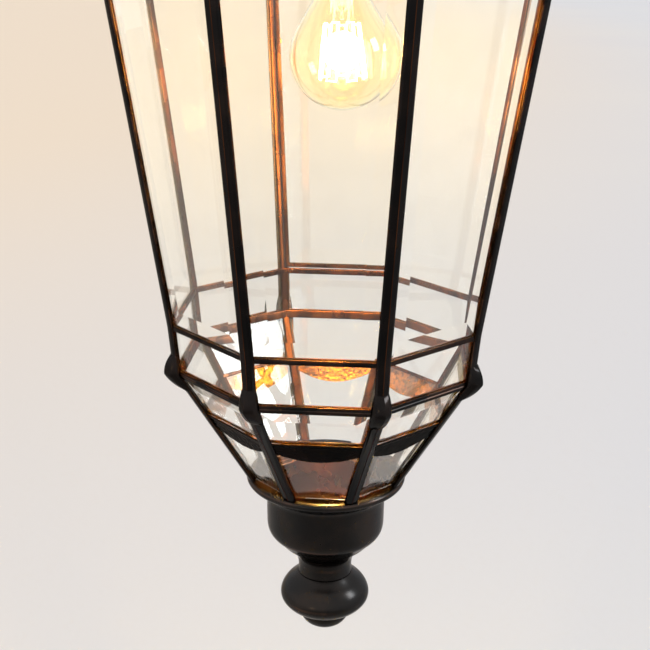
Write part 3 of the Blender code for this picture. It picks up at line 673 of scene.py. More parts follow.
def make_rails(bronze):
    shoulder = [
        (-3.5, -3), (-1.4, -3), (-1.4, -1.6), (0.9, -1.6), (0.9, -3), (5.5, -3),
        (6.6, -1), (6.6, 1), (5.4, 2.6), (3.8, 3.2), (3.8, 6), (-3.5, 6),
    ]
    upper = [
        (-2.2, -1.5), (-2.2, 2.1), (-1.0, 2.1), (-1.0, 0.6), (1.15, 0.6), (1.15, 1.5),
        (1.8, 1.5), (1.8, -1.5), (1.15, -1.5), (1.15, -0.6), (-1.0, -0.6), (-1.0, -1.5),
    ]
    knuckle = [
        (-2.4, 2.4), (-1.0, 2.4), (-1.0, 1.0), (1.2, 1.0), (1.2, 2.4), (1.9, 2.4), (2.0, 1.0),
        (1.5, 0.4), (2.0, -0.2), (1.2, -2.4), (-0.2, -2.4), (0.55, -1.0), (-1.7, -1.0),
        (-2.45, -2.4), (-3.6, -2.4),
    ]
    rails = (
        ("shoulder_rail", shoulder, R_SHOULDER, Z_SHOULDER),
        ("upper_rail", upper, R_UPPER_RAIL, Z_UPPER_RAIL),
        ("knuckle_rail", knuckle, R_KNUCKLE, Z_KNUCKLE),
    )
    for node, section, radius, z in rails:
        smooth = rounded(millimetres(section), 0.5 * MM, 4)
        mesh = octagon_ring(f"fine_{node}", smooth, radius, z)
        add_piece(mesh, bronze, node, rule=facing_in)


def swag_point(share, face, q, h):
    """A point on the lower cone: share runs -1 to 1 across a flat, q down it, h off it."""
    z = Z_KNUCKLE - SWAG_DOWN * math.cos(LOWER_LEAN)
    z_here = z - q * math.cos(LOWER_LEAN) - h * math.sin(LOWER_LEAN)
    apothem = glass_radius(z) * COS - q * math.sin(LOWER_LEAN) + h * math.cos(LOWER_LEAN)
    outward = polar(apothem, face_angle(face), z_here)
    return outward + polar(share * apothem * TAN, face_angle(face) + math.pi / 2, 0)


def swag_depth(share):
    return SWAG_SHALLOW + SWAG_DROOP * (1 - share * share)


def dimple(point, size, depth):
    """Depth of a hammered surface at a point: rounded dents packed side by side."""
    distances = noise.voronoi(point / size)[0]
    return depth * (1 - min(1.0, distances[0] * 1.6) ** 2)


def make_swags(hammered, bronze):
    """The hammered belt: a rolled top edge and a thin sheet that hangs in eight shallow curves."""
    across, down = 48, 12
    bead = millimetres([(2.2, 1.6), (2.0, 1.8), (0, 1.8), (0, 1.0), (1.2, 1.0)])
    bead = [(p.x, p.y, 0) for p in rounded(bead, 0.5 * MM, 4, False)]
    stations = []
    for face in range(SIDES):
        for step in range(across):
            share = -1 + 2 * step / across
            depth = swag_depth(share)
            outline = list(bead)
            for i in range(1, down + 1):
                outline.append((1.2 * MM + (depth - 1.2 * MM) * i / down, 1.0 * MM, 1))
            for i in range(down):
                outline.append((depth - (depth - 2.3 * MM) * i / down, 1.6 * MM, -1))
            row = []
            for q, h, skin in outline:
                point = swag_point(share, face, q, h)
                if skin:
                    dent = dimple(point, 2.2 * MM, 0.22 * MM)
                    point = swag_point(share, face, q, h + skin * dent)
                row.append(point)
            stations.append(row)
    mesh = loft("hammered_swag_belt", stations, closed=True)
    add_piece(mesh, hammered, "swag_belt", sharp=60, rule=facing_in)
    strip = rounded(millimetres([(0, -0.9), (0, -2.1), (2.2, -2.1), (2.2, -0.9)]), 0.4 * MM, 4)
    stations = [[swag_point(-1, face, q, h) for q, h in strip] for face in range(SIDES)]
    mesh = loft("fine_swag_inner_rail", stations, closed=True)
    add_piece(mesh, bronze, "swag_inner_rail", rule=facing_in)


# ======== corner bars

def bar_half_section(swell, cut_back):
    """Half of a bar's outline as (d, h) in millimetres; cut_back is where the door clears it."""
    rise = KNUCKLE_RISE * swell
    spread = 1.3 * swell
    half = [
        (0.5, BAR_CREST - 0.3 + rise + 0.3 * swell),
        (1.9 + 0.2 * spread, BAR_CREST + 0.85 * rise),
        (3.3 + 0.7 * spread, BAR_CREST - 0.5 + 0.5 * rise),
        (3.8 + spread, 2.0 + 0.15 * rise),
        (3.7 + 0.8 * spread, 1.0),
        (1.6, 1.0),
        (1.6, -0.9),
        (3.1, -0.9),
        (3.0, -1.4),
        (2.4, -1.7),
    ]
    return [(min(d, cut_back), h) for d, h in half] if cut_back else half


def section_point(d, h, side, stretch):
    """A section point as (outward, sideways) from the corner line, for d and h in millimetres."""
    outward = -d * math.sin(HALF_TURN) + h * stretch * COS
    sideways = d * COS + h * stretch * math.sin(HALF_TURN)
    return outward * MM, side * sideways * MM


def bar_outline(corner, z, stretch, swell, cut_backs):
    """The whole rounded outline of a bar at one height."""
    groove = (BAR_CREST - 0.55 + swell * (KNUCKLE_RISE + 0.95)) * stretch / COS
    outline = [(groove * MM, 0, 0.25 * MM)]
    outline += [section_point(d, h, 1, stretch) for d, h in bar_half_section(swell, cut_backs[0])]
    outline += [section_point(d, h, -1, stretch) for d, h in reversed(bar_half_section(swell, cut_backs[1]))]
    angle = corner_angle(corner)
    along = polar(1, angle + math.pi / 2, 0)
    radius = glass_radius(z)
    smooth = rounded(outline, 0.5 * MM)
    return [polar(radius + p.x, angle, z) + along * p.y for p in smooth]


def bar_mesh(name, corner):
    """A bar from shoulder to collar, with the knuckle that swells where the glass turns in."""
    upper = 1 / math.cos(UPPER_LEAN)
    lower = 1 / math.cos(LOWER_LEAN)
    sides = (1 if corner == DOOR_FACE else 0, 1 if corner == DOOR_FACE + 1 else 0)
    door_cuts = (DOOR_JAMB * sides[0], DOOR_JAMB * sides[1])
    rows = [
        (Z_SHOULDER - 3.3 * MM, upper, 0, door_cuts),
        (Z_UPPER_RAIL + 1.7 * MM, upper, 0, door_cuts),
        (Z_UPPER_RAIL + 1.6 * MM, upper, 0, (0, 0)),
        (Z_UPPER_RAIL, upper, 0, (0, 0)),
    ]
    steps = 28
    for step in range(steps + 1):
        across = math.cos(math.pi * step / steps)
        swell = (1 - across * across) ** 0.8
        stretch = upper + (lower - upper) * (0.5 - 0.5 * across)
        rows.append((Z_KNUCKLE + across * KNUCKLE_HALF_HEIGHT, stretch, swell, (0, 0)))
    rows.append((Z_COLLAR + 0.3 * MM, lower, 0, (0, 0)))
    return loft(name, [bar_outline(corner, *row) for row in rows])


def bar_tone(centre, normal):
    """Black beads with a painted highlight line in their groove; copper, partly painted lamp light, only on
    what faces the lamp.
    """
    off_glass = math.hypot(centre.x, centre.y) - glass_radius(centre.z)
    turn = (math.atan2(centre.y, centre.x) - corner_angle(0)) % (2 * HALF_TURN)
    beside = math.hypot(centre.x, centre.y) * min(turn, 2 * HALF_TURN - turn)
    if off_glass > 1.2 * MM and beside < GROOVE_HALF and abs(centre.z - Z_KNUCKLE) > KNUCKLE_HALF_HEIGHT:
        # painted highlight: a lighter line down the groove between the beads
        return 0.5
    if off_glass > 1.1 * MM:
        return 0.0
    # copper on faces towards the lamp, partly painted lamp light; the sides by the glass get a little, a
    # painted dull red edge that also takes off their lacquer
    return 1.0 if normal.dot(polar(1, math.atan2(centre.y, centre.x), 0)) < -0.85 else 0.12


def corner_place(corner, side, d, h, z):
    """A point beside a corner line: side +1 is the flat counter-clockwise of it."""
    outward, sideways = section_point(d / MM, h / MM, side, 1)
    angle = corner_angle(corner)
    base = polar(glass_radius(z) + outward, angle, z)
    return base + polar(sideways, angle + math.pi / 2, 0)


def make_bars(bronze, fittings):
    """The eight bars; fittings maps a corner to the small meshes soldered to its bar."""
    for corner in range(SIDES):
        name = f"fine_corner_bar_{corner + 1}"
        mesh = joined(name, [bar_mesh("bar", corner), *fittings.get(corner, [])])
        add_piece(mesh, bronze, f"corner_bar_{corner + 1}", sharp=50, rule=bar_tone)


# ======== door, hinges and latch

def hinge_frame(z):
    """Axes at a hinge: z up the pin, y outward, x away from the door."""
    low, high = [
        corner_place(DOOR_FACE, 1, HINGE_D, HINGE_H, Z_UPPER_RAIL + up) for up in HINGE_ABOVE_RAIL
    ]
    up = (high - low).normalized()
    outward = flat_frame(DOOR_FACE, Z_UPPER_RAIL + MM, Z_SHOULDER).to_3x3() @ Vector((0, 0, 1))
    across = outward.cross(up).normalized()
    return axes(across, up.cross(across), up, corner_place(DOOR_FACE, 1, HINGE_D, HINGE_H, z))


def chamfered_prism(name, outline, low, high, chamfer):
    """A flat outline raised from one height to another, its rims taken off."""
    middle = sum((Vector(p[:2]) for p in outline), Vector((0, 0))) / len(outline)
    size = max((Vector(p[:2]) - middle).length for p in outline)
    shrink = 1 - chamfer / size
    stations = []
    for share, z in ((shrink, low), (1, low + chamfer), (1, high - chamfer), (shrink, high)):
        stations.append([Vector((*(middle + (Vector(p[:2]) - middle) * share), z)) for p in outline])
    return loft(name, stations)


def lug_mesh(place, bottom, leaf_side):
    """A bored hinge barrel with its leaf; leaf_side is -1 for the door."""
    outline = [(0.4 * MM, -3.6 * MM), (2.9 * MM, -3.6 * MM), (2.9 * MM, -1.3 * MM)]
    outline += arc((0, 0), LUG_RADIUS, 3, 258, 36)
    outline = [(x * leaf_side, y) for x, y in outline]
    lug = chamfered_prism("lug", outline, bottom, bottom + LUG_HEIGHT, 0.25 * MM)
    bore = cylinder(PIN_RADIUS + GAP, bottom - MM, bottom + LUG_HEIGHT + MM, 32)
    made = cut_mesh(lug, bore)
    made.transform(place)
    return made


def make_hinge_pins(brass):
    for label, up in zip(("lower", "upper"), HINGE_ABOVE_RAIL):
        bottom = -LUG_HEIGHT - GAP
        head = LUG_HEIGHT + 2 * GAP + 0.1 * MM
        profile = rounded([
            (0, bottom), (PIN_RADIUS, bottom, 0.3 * MM), (PIN_RADIUS, head, 0.05 * MM),
            (1.8 * MM, head, 0.2 * MM), (1.6 * MM, head + 1.0 * MM, 0.6 * MM), (0, head + 1.3 * MM),
        ], 0.2 * MM, 4, False)
        mesh = turned_solid(f"fine_hinge_pin_{label}", profile, 32)
        mesh.transform(hinge_frame(Z_UPPER_RAIL + up))
        add_piece(mesh, brass, f"hinge_pin_{label}")


def latch_frame():
    """Axes at the latch pivot: -y down the hook, x away from the peg's side, z inward."""
    z = Z_UPPER_RAIL + LATCH_ABOVE_RAIL
    flat = flat_frame(DOOR_FACE, Z_UPPER_RAIL + MM, Z_SHOULDER)
    up = (z - flat.translation.z) / math.cos(UPPER_LEAN)
    tilt = math.asin((LATCH_SIDE + 0.2 * MM) / LATCH_REACH)
    place = moved(glass_radius(z) * COS * TAN - LATCH_SIDE, up)
    return flat @ place @ Matrix.Rotation(math.pi, 4, "Y") @ Matrix.Rotation(-tilt, 4, "Z")


def hook_outline():
    """The hook seen flat: an eye at the pivot, a shank, and a jaw open on one side."""
    reach = LATCH_REACH / MM
    outline = arc((0, 0), 2.3, -62, 242, 40) + [
        (-1.1, -reach + 3.0), (-1.8, -reach + 2.6), (-1.8, -reach + 1.35), (0.9, -reach + 1.35),
        (1.3, -reach + 0.7), (1.3, -reach - 0.7), (0.9, -reach - 1.35), (-1.8, -reach - 1.35),
        (-1.4, -reach - 2.4), (0.5, -reach - 2.9), (2.2, -reach - 2.3), (2.7, -reach), (1.1, -reach + 3.0),
    ]
    return rounded(millimetres(outline), 0.7 * MM, 3)


def stud_meshes():
    """The stud on the door that the hook turns on, and the peg on the bar."""
    stud = [
        (0, -6.4), (1.6, -6.4, 0.4), (1.9, -6), (1.9, -5.2, 0.1), (0.9, -5.2, 0.1), (0.9, -1.8, 0.1),
        (0, -1.8),
    ]
    peg = [(0, -6), (0.6, -6), (0.9, -5.7), (0.9, -1.3, 0.1), (0, -1.3)]
    places = latch_frame(), latch_frame() @ moved(y=-LATCH_REACH)
    meshes = []
    for name, profile, place in zip(("stud", "peg"), (stud, peg), places):
        mesh = lathe_mesh(name, profile, 0.3, 4, 32, solid=True)
        mesh.transform(place)
        meshes.append(mesh)
    return meshes


def make_latch(brass):
    hook = chamfered_prism("fine_latch_hook", hook_outline(), -4.9 * MM, -3.7 * MM, 0.18 * MM)
    mesh = cut_mesh(hook, cylinder(1.2 * MM, -7 * MM, -2 * MM, 32))
    mesh.transform(latch_frame())
    add_piece(mesh, brass, "latch_hook", "latch_hook")


def make_door(bronze, stud):
    section = millimetres([
        (0, -1.7), (0, 2.4), (0.6, 3.0), (1.5, 3.2), (2.5, 2.8), (2.9, 2.0), (2.8, 1.0),
        (1.3, 1.0), (1.3, -0.9), (2.7, -0.9), (2.6, -1.7),
    ])
    opening = Flat(DOOR_FACE, Z_UPPER_RAIL + 2.6 * MM, Z_SHOULDER - 4 * MM, DOOR_STILE)
    rows = [opening.corners(p.x, p.y) for p in rounded(section, 0.5 * MM, 3)]
    stations = [[row[corner] for row in rows] for corner in range(4)]
    lugs = [lug_mesh(hinge_frame(Z_UPPER_RAIL + up), GAP, -1) for up in HINGE_ABOVE_RAIL]
    mesh = joined("fine_door_frame", [loft("stiles", stations, closed=True), *lugs, stud])
    add_piece(mesh, bronze, "door_frame", "door", rule=bar_tone)


# ======== foot of the lantern

def cup_tone(centre, normal):
    """Copper on what looks into the cup, partly painted lamp light, and weaker copper on top of its lip as
    painted lamp light.
    """
    outward = Vector((centre.x, centre.y, 0))
    inside = outward.length < CUP_BORE and centre.z > Z_UPPER_RAIL - CUP_FLOOR_DOWN
    if outward.length < CUP_LIP and normal.z > 0.6 and not inside:
        # painted lamp light on the lip's top, which also thins its lacquer
        return 0.4
    return 1.0 if inside or normal.dot(outward) < -0.2 * outward.length else 0.0


def make_foot(lathe, brass):
    outside = [
        (47.5, -105.0, 0.6), (49.5, -105.9), (50.3, -107.7), (49.6, -109.8), (46.8, -111.6), (43, -113.6),
        (39.7, -116), (37.9, -119), (37.5, -123), (37.4, -132), (37.3, -140.5), (36.5, -144.6),
        (34.4, -147.8), (31.3, -150.4, 0.25), (30.2, -151.6, 0.25), (27.8, -154.6), (24.6, -157.2),
        (21, -160.3), (18.6, -163.6), (17.4, -167.5), (17, -171.5), (17.3, -175.8, 0.2),
    ]
    inside = [
        (3.6, -175.8, 0.1), (3.6, -141.5, 0.3), (14, -141.5, 0.3), (15, -140.4, 0.4), (24, -140.4, 0.4),
        (25, -141.6, 0.3), (33, -141.6, 1.5), (35.6, -139, 1.5), (35.9, -112.5, 0.6), (38.2, -111, 0.5),
        (38.8, -107, 0.5), (41, -105.0, 0.5),
    ]
    mesh = lathe_mesh("fine_bottom_collar", outside + inside, 3, 5, 128, Z_UPPER_RAIL)
    add_piece(mesh, lathe, "bottom_collar", rule=cup_tone)
    body = [
        (17.4, -176.2, 0.2), (20.5, -179.3), (24.5, -182.6), (27.4, -186.6), (28.9, -190.8), (28.5, -194.8),
        (25.6, -198.8), (21, -202.2), (16.6, -204.7, 0.3), (3.6, -204.7, 0.1), (3.6, -176.2, 0.1),
    ]
    mesh = lathe_mesh("fine_finial_body", body, 3, 6, 112, Z_UPPER_RAIL)
    add_piece(mesh, lathe, "finial_body", rule=all_black)
    button = [
        (0, -208), (3.6, -208, 0.1), (3.6, -205.1, 0.1), (16.1, -205.1, 0.4), (15.7, -208, 1.2),
        (13.8, -211.5), (9.5, -214.8), (4.5, -216.4), (0, -216.8),
    ]
    mesh = lathe_mesh("fine_finial_button", button, 3, 5, 96, Z_UPPER_RAIL, solid=True)
    add_piece(mesh, lathe, "finial_button", rule=all_black)
    low, high = Z_UPPER_RAIL - 207.7 * MM, Z_UPPER_RAIL - 134 * MM
    radius, end_radius, rows = 3.0 * MM, 2.5 * MM, 360
    shank = [(radius, low + (high - low) * row / rows) for row in range(1, rows)]
    profile = [(0, low), (end_radius, low), *shank, (end_radius, high), (0, high)]
    mesh = turned_solid("fine_tie_rod", profile, 20, thread=(low, high, 1.25 * MM, 0.45 * MM))
    add_piece(mesh, brass, "tie_rod", sharp=40)
    make_hex_nut("tie_nut", brass, (3.9, 7.4), (Z_UPPER_RAIL - 141.2 * MM, Z_UPPER_RAIL - 136.2 * MM))


def make_hex_nut(node, brass, radii, heights):
    """A nut with chamfered corners; radii are of the bore and to the corners, in millimetres."""
    low, high = heights
    bore, corner = [value * MM for value in radii]
    across = corner * math.cos(math.pi / 6)
    stations = []
    for angle in turns(72):
        off = (angle + math.pi / 6) % (math.pi / 3) - math.pi / 6
        reach = across / math.cos(math.pi / 6 - abs(off))
        crown = (reach - across) * 0.6
        section = [
            (bore, low + 0.3 * MM), (bore + 0.3 * MM, low), (across - 0.2 * MM, low),
            (reach, low + crown), (reach, high - crown),
            (across - 0.2 * MM, high), (bore + 0.3 * MM, high), (bore, high - 0.3 * MM),
        ]
        stations.append([polar(r, angle, z) for r, z in section])
    mesh = loft(f"fine_{node}", stations, closed=True)
    add_piece(mesh, brass, node)


# ======== roof and crown

ROOF_BASE = Z_SHOULDER + 6.3 * MM
EAVE_LOW = Z_SHOULDER + 11 * MM
EAVE_RADIUS = 147 * MM
CROWN_TOP = Z_SHOULDER + 73.7 * MM
CROWN_RADIUS = 46.5 * MM
CROWN_MOUTH = 38.5 * MM
ROOF_SHEET = 1.6 * MM
HIP_RISE = 1.0 * MM


def roof_outline(radius, share, z, hip=0.0, steps=16):
    """One level of the roof: an octagon that turns round as share falls to 0, with a bead on each hip."""
    points = []
    for turn in turns(SIDES * steps):
        angle = corner_angle(0) + turn
        off_flat = (angle - face_angle(0)) % (2 * HALF_TURN)
        off_flat = min(off_flat, 2 * HALF_TURN - off_flat)
        octagon = radius * COS / math.cos(off_flat)
        off_hip = (HALF_TURN - off_flat) * radius / (2.6 * MM)
        bead = hip * max(0.0, 1 - off_hip * off_hip)
        points.append(polar(share * octagon + (1 - share) * radius + bead, angle, z))
    return points


def roof_levels(thickness, hip):
    """The concave sweep from eave to crown; thickness lowers it for the inner skin."""
    rise_in_all = CROWN_TOP - 0.7 * MM - EAVE_LOW
    steps = 28
    levels = []
    for step in range(steps + 1):
        rise = step / steps
        radius = CROWN_RADIUS + (EAVE_RADIUS - CROWN_RADIUS) * (1 - rise) ** 1.55
        height = EAVE_LOW + rise * rise_in_all - thickness
        bead = hip * min(1.0, rise * 8) * (1 - rise ** 3)
        levels.append(roof_outline(radius - thickness, 1 - rise ** 2, height, bead))
    return levels


def make_roof(bronze):
    eave = arc((EAVE_RADIUS - 1.2 * MM, ROOF_BASE + 2.7 * MM), 2.7 * MM, -90, 75, 10)
    outer = [roof_outline(r, 1, z) for r, z in eave]
    outer += roof_levels(0, HIP_RISE)
    outer += [roof_outline(CROWN_RADIUS, 0, CROWN_TOP), roof_outline(CROWN_MOUTH, 0, CROWN_TOP)]
    inner = [roof_outline(CROWN_MOUTH, 0, CROWN_TOP - 2.2 * MM)]
    inner += list(reversed(roof_levels(ROOF_SHEET, 0)))
    inner += [roof_outline(EAVE_RADIUS - 6 * MM, 1, ROOF_BASE)]
    mesh = loft("fine_roof_shell", outer + inner, closed=True)
    add_piece(mesh, bronze, "roof_shell", sharp=35, rule=under_roof)


def under_roof(centre, normal):
    """The roof is black above and copper below, where the copper is partly painted lamp light."""
    return 1.0 if normal.z < -0.15 else 0.0


def make_crown(bronze, lathe):
    floor = -84
    wall = [
        (44.8, floor - 2), (45.6, floor - 1), (44.8, floor), (41, floor + 0.8, 0.4), (41, -61.1, 0.3),
        (39.4, -61.1, 0.3), (39.4, floor - 2, 0.2),
    ]
    mesh = lathe_mesh("fine_crown_collar", wall, 0.6, 4, 96)
    slots = []
    for vent in range(4):
        half, round_end = 6 * MM, 3 * MM
        outline = arc((half, 0), round_end, -90, 90, 14) + arc((-half, 0), round_end, 90, 270, 14)
        rows = [[Vector((x, y, -77.5 * MM + up)) for x, up in outline] for y in (-50 * MM, 50 * MM)]
        slot = loft("slot", rows)
        slot.transform(Matrix.Rotation(math.radians(45 * vent + 22.5), 4, "Z"))
        slots.append(slot)
    mesh = cut_mesh(mesh, *slots)
    x, y = 39.8 * MM, 8 * MM
    outline = rounded([(-x, -y), (x, -y), (x, y), (-x, y)], MM, 4)
    bridge = chamfered_prism("bridge", [tuple(p) for p in outline], BRIDGE_Z - 2 * MM, BRIDGE_Z, 0.3 * MM)
    hole = cylinder(6 * MM, BRIDGE_Z - 5 * MM, BRIDGE_Z + 3 * MM)
    mesh = joined("fine_crown_collar", [mesh, cut_mesh(bridge, hole)])
    add_piece(mesh, bronze, "crown_collar", rule=facing_in)
    cap = [
        (4.5, -58.1, 0.2), (41.6, -58.7), (45.6, -61), (48.6, -65), (50, -69), (50.6, -71, 0.5),
        (49.6, -71.8, 0.5),
        (48.4, -71, 0.5), (46.6, -66), (44.2, -62.4), (41, -60.7), (4.5, -59.7, 0.2),
    ]
    low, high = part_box("cable_gland")
    hole = cylinder(5.4 * MM, low.z, high.z)
    hole.transform(moved((low.x + high.x) / 2))
    mesh = cut_mesh(lathe_mesh("fine_crown_cap", cap, 3, 5, 112), hole)
    add_piece(mesh, lathe, "crown_cap", rule=all_black)


def torus_mesh(name, radius, wire, steps, sides):
    """A ring of round wire lying in the XZ plane."""
    path = [Vector((math.sin(turn), 0, math.cos(turn))) * radius for turn in turns(steps)]
    return swept(name, path, wire, sides, closed=True)


def make_hanger(lathe, bronze, brass):
    """Ring, screwed eye, nut, and the gland for the flex."""
    ring_low, ring_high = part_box("hanging_ring")
    wire = (ring_high.y - ring_low.y) / 2
    radius = (ring_high.z - ring_low.z) / 2 - wire
    ring = torus_mesh("fine_hanging_ring", radius, wire, 112, 24)
    ring.transform(Matrix.Translation((ring_low + ring_high) / 2))
    add_piece(ring, bronze, "hanging_ring", "hanging_ring", rule=all_black)
    shank = [
        (0, -76), (3.6, -76, 0.2), (4.0, -75.4, 0.2), (4.0, -57.7, 0.1), (8.2, -57.7, 0.3), (8.2, -56.8, 0.5),
        (6.2, -55.4), (3.4, -53.6), (0, -53.6),
    ]
    eye_radius, eye_wire, eye_z = 8.5 * MM, 2.25 * MM, -45.9 * MM
    loop = torus_mesh("loop", eye_radius, eye_wire, 72, 20)
    loop.transform(moved(z=eye_z) @ Matrix.Rotation(math.pi / 2, 4, "Z"))
    stalk = lathe_mesh("stalk", shank, 1.5, 5, 56, solid=True)
    mesh = joined("fine_hanging_eye", [stalk, loop])
    add_piece(mesh, lathe, "hanging_eye", rule=all_black)
    make_hex_nut("eye_nut", brass, (5.0, 8.4), (-66 * MM, -61 * MM))
    gland = [
        (4.0, -68, 0.3), (5.0, -68, 0.3), (5.0, -58.4, 0.1), (7.3, -58.4, 0.3), (7.3, -55, 0.5),
        (6.2, -54, 0.4), (6.2, -49.8, 0.5), (4.0, -49.8, 0.5),
    ]
    low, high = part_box("cable_gland")
    mesh = lathe_mesh("fine_cable_gland", gland, 0.5, 4, 64)
    mesh.transform(moved((low.x + high.x) / 2))
    add_piece(mesh, brass, "cable_gland")


# ======== lamp

LAMP = moved(z=BRIDGE_Z) @ Matrix.Rotation(-LAMP_LEAN, 4, "Y")     # the lamp hangs a little askew
BULB_TIP = -254 * MM
FILAMENT_ENDS = (-236 * MM, -206 * MM)
BULB_RADIUS = 30 * MM


def lamp_piece(mesh, finish, node, body="cage", sharp=30):
    mesh.transform(LAMP)
    return add_piece(mesh, finish, node, body, sharp)


def make_lampholder(brass, black):
    stem = [(3.4, 4.5), (8.4, 4.5, 0.5), (8.4, 0.7, 0.4), (5, 0.7, 0.1), (5, -116, 0.3), (3.4, -116, 0.3)]
    cap = [
        (5.3, -108, 0.3), (8, -108, 0.5), (8.6, -110), (8.8, -114), (12, -117), (17, -121), (19.3, -126),
        (19.6, -139.4, 0.2), (18, -139.4, 0.2), (17.7, -127), (15.8, -123), (11, -119), (5.3, -118, 0.2),
    ]
    skirt = [
        (18, -139.7, 0.2), (19.9, -139.7, 0.3), (20.3, -141, 0.4), (20.3, -145, 0.4), (19.4, -147, 0.5),
        (18.6, -172), (17.8, -176, 0.4), (15, -176, 0.3), (15, -174.5, 0.3), (17.7, -173), (18, -141, 0.2),
    ]
    insert = [
        (2, -141, 0.2), (17.4, -141, 0.5), (17.4, -172, 0.5), (13.7, -172, 0.4), (13.7, -146, 0.4),
        (2, -146, 0.2),
    ]
    for node, profile, finish in (
        ("lamp_stem", stem, brass),
        ("lampholder_cap", cap, brass),
        ("lampholder_skirt", skirt, brass),
        ("lampholder_insert", insert, black),
    ):
        lamp_piece(lathe_mesh(f"fine_{node}", profile, 2, 4, 80), finish, node)


def bulb_outline(wall):
    """Half of the pear-shaped envelope from neck to tip, drawn in by a wall."""
    centre = BULB_TIP + BULB_RADIUS
    radius = BULB_RADIUS - wall
    throat = 11.6 * MM - wall
    shoulder_angle = math.radians(26)
    high, low = -178 * MM, centre + radius * math.sin(shoulder_angle)
    reach = radius * math.cos(shoulder_angle)
    slope = math.tan(shoulder_angle) * (high - low)
    points = [(throat, -166 * MM), (throat, -172 * MM)]
    steps = 28
    for step in range(steps):
        t = step / steps
        ease = t * t * (3 - 2 * t)
        bend = t * t * (t - 1) * slope
        points.append((throat + (reach - throat) * ease + bend, high + (low - high) * t))
    points += [(r, centre + up) for r, up in arc((0, 0), radius, math.degrees(shoulder_angle), -88.5, 56)]
    return points


def filament_path():
    """Wire that runs up and down a cage round the stem, with a round turn at each end."""
    low, high = FILAMENT_ENDS
    strands = 14
    points = []
    for strand in range(strands):
        heights = [low + (high - low) * step / 8 for step in range(9)]
        if strand % 2:
            heights.reverse()
        for step, z in enumerate(heights):
            angle = 2 * math.pi * (strand + 0.16 * math.sin(math.pi * step / 8)) / strands
            radius = (13.5 - 3.5 * (z - low) / (high - low)) * MM
            points.append(polar(radius, angle, z))
    return points


def make_bulb(glass, brass, filament):
    wall = 0.9 * MM
    outer = bulb_outline(0) + [(0, BULB_TIP)]
    inner = bulb_outline(wall) + [(0, BULB_TIP + wall)]
    envelope = turned_solid("fine_bulb_glass", list(reversed(inner)) + outer, 128)
    lamp_piece(envelope, glass, "bulb_glass", "bulb", sharp=60)
    thread_low, thread_high = -174 * MM, -156.5 * MM
    rows = 60
    profile = millimetres([(0, -149), (4.5, -149), (5.5, -151), (11.5, -153.5), (13.2, -155.5)])
    for row in range(rows + 1):
        profile.append((13.2 * MM, thread_high + (thread_low - thread_high) * row / rows))
    profile += millimetres([
        (13.2, -175.5), (12.8, -178), (12.1, -178), (12.1, -156), (10, -154.8), (0, -153),
    ])
    thread = (thread_low, thread_high, 3.6 * MM, 0.9 * MM)
    cap_mesh = turned_solid("fine_bulb_cap", profile, 64, thread)
    lamp_piece(cap_mesh, brass, "bulb_cap", "bulb", sharp=40)
    wire = swept("wire", filament_path(), 0.55 * MM, 8)
    lamp_piece(wire, filament, "bulb_filament_mount", "bulb").name = "filament_wire"
    stem = [(0, -165), (4, -165), (4, -176), (2.6, -180), (2.4, -196), (0.9, -199), (0.9, -204), (0, -204.2)]
    mesh = lathe_mesh("filament_stem", stem, 1, 4, 32, solid=True)
    lamp_piece(mesh, glass, "bulb_filament_mount", "bulb")


# ======== stage, lights and camera

def make_floor():
    """A wide pale floor well below the lantern, with painted warm light at the back left and a painted dark
    pool of shade in front.
    """
    paint = Paint("pale_floor")
    half, depth = 60, cad_box[0].z - FLOOR_DROP
    squeezed = paint.add("ShaderNodeVectorMath", {0: paint.place, 1: (1.0, 0.5, 1.0)}, operation="MULTIPLY")
    # painted warm light falling across the floor at the back left
    painted_warm_light = paint.spread(paint.distance(squeezed.outputs["Vector"], (-6.0, 7.0, depth)), 4.9, 9.8, 1.0, 0.0)
    # painted shade: a dark pool on the floor in front of the lantern
    clear_of_painted_shade = paint.spread(paint.distance(paint.place, (0.1, -1.9, depth)), 0.9, 2.7)
    grey = paint.vary(paint.noise(0.35, 2), 0.3, 0.7, (0.775, 0.775, 0.79), (0.80, 0.795, 0.79))
    paint.set(
        # the dark colour is the painted shade of the pool in front
        Base_Color=paint.blend(clear_of_painted_shade, (0.40, 0.39, 0.385), paint.blend(painted_warm_light, grey, (0.93, 0.785, 0.62))),
        Roughness=0.9,
        Specular_IOR_Level=0.1,
    )
    points = [(-half, -half, depth), (half, -half, depth), (half, half, depth), (-half, half, depth)]
    mesh = bpy.data.meshes.new("floor")
    mesh.from_pydata(points, [], [(0, 1, 2, 3)])
    mesh.materials.append(paint.made)
    placed("floor", mesh)


def area_light(name, place, target, size, power, colour):
    data = bpy.data.lights.new(name, "AREA")
    data.shape = "RECTANGLE"
    data.size, data.size_y = size
    data.energy = power
    data.color = colour
    light = placed(name, data)
    light.location = place
    light.rotation_euler = (target - place).to_track_quat("-Z", "Y").to_euler()
    light.visible_camera = False
    light.visible_diffuse = False


def make_lights():
    world = bpy.data.worlds.new("pale_room")
    world.use_nodes = True
    background = world.node_tree.nodes["Background"]
    background.inputs["Color"].default_value = (0.93, 0.93, 0.95, 1)
    background.inputs["Strength"].default_value = 1.0
    bpy.context.scene.world = world
    waist = Vector((0, 0, Z_KNUCKLE - 20 * MM))
    foot = Vector((0, 0, cad_box[0].z + 25 * MM))
    window, glint = waist + Vector((1.78, -0.15, 0.9)), foot + Vector((-0.89, -1.79, -0.04))
    area_light("window_right", window, waist, size=(0.5, 0.7), power=18, colour=(0.90, 0.95, 1.0))
    area_light("lamp_front", glint, foot, size=(0.08, 0.08), power=0.8, colour=(1.0, 0.72, 0.42))
    bulb = bpy.data.lights.new("bulb_light", "POINT")
    bulb.energy = 18.0
    bulb.color = LAMP_COLOUR
    bulb.shadow_soft_size = 12 * MM
    light = placed("bulb_light", bulb)
    light.location = LAMP @ Vector((0, 0, sum(FILAMENT_ENDS) / 2))
    light.visible_camera = False
    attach(light, "bulb")


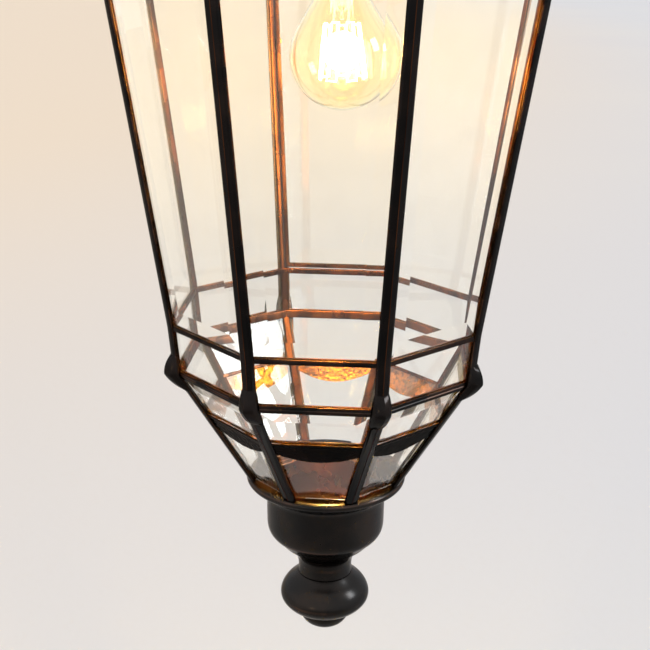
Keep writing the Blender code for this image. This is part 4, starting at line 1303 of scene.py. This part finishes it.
def make_camera():
    """Looks down on the foot of the lantern from in front, a little to its right."""
    distance, side = 0.6936, math.radians(4.137)
    heading, pitch, roll = math.radians(4.2586), math.radians(18.721), math.radians(0.5442)
    above_rail = 0.2266
    data = bpy.data.cameras.new("camera")
    data.sensor_width = 36
    data.lens = 66.67
    data.clip_start, data.clip_end = 0.01, 300
    camera = placed("camera", data)
    turn = Matrix.Rotation(heading, 4, "Z") @ Matrix.Rotation(math.pi / 2 - pitch, 4, "X")
    place = Vector((distance * math.sin(side), -distance * math.cos(side), Z_UPPER_RAIL + above_rail))
    camera.matrix_world = Matrix.Translation(place) @ turn @ Matrix.Rotation(roll, 4, "Z")
    bpy.context.scene.camera = camera


# ======== the whole lantern

def make_lantern():
    bronze = bronze_paint("aged_bronze"), "aged_bronze"
    hammered = bronze_paint("hammered_bronze", hammered=True), "aged_bronze"
    lathe = turned_paint("turned_bronze"), "aged_bronze"
    brass = brass_paint("plain_brass"), "plain_brass"
    glass = glass_paint("clear_glass", (0.972, 0.988, 0.982), 0.02, 0.005), "clear_glass"
    glow = ((1.0, 0.80, 0.34), 0.045)
    bulb_glass = glass_paint("bulb_glass", (1.0, 0.965, 0.80), 0.01, 0.0, glow), "bulb_glass"
    filament = filament_paint("filament"), "filament"
    black = insulator_paint("black_insulator"), "black_insulator"

    make_panes(glass)
    make_rails(bronze)
    make_swags(hammered, bronze)
    stud, peg = stud_meshes()
    bar_lugs = [lug_mesh(hinge_frame(Z_UPPER_RAIL + up), -LUG_HEIGHT, 1) for up in HINGE_ABOVE_RAIL]
    make_bars(bronze, {DOOR_FACE: bar_lugs, DOOR_FACE + 1: [peg]})
    make_door(bronze, stud)
    make_hinge_pins(brass)
    make_latch(brass)
    make_foot(lathe, brass)
    make_roof(bronze)
    make_crown(bronze, lathe)
    make_hanger(lathe, bronze, brass)
    make_lampholder(brass, black)
    make_bulb(bulb_glass, brass, filament)


make_lantern()
make_floor()
make_lights()
make_camera()
bpy.context.scene.view_settings.view_transform = "Standard"
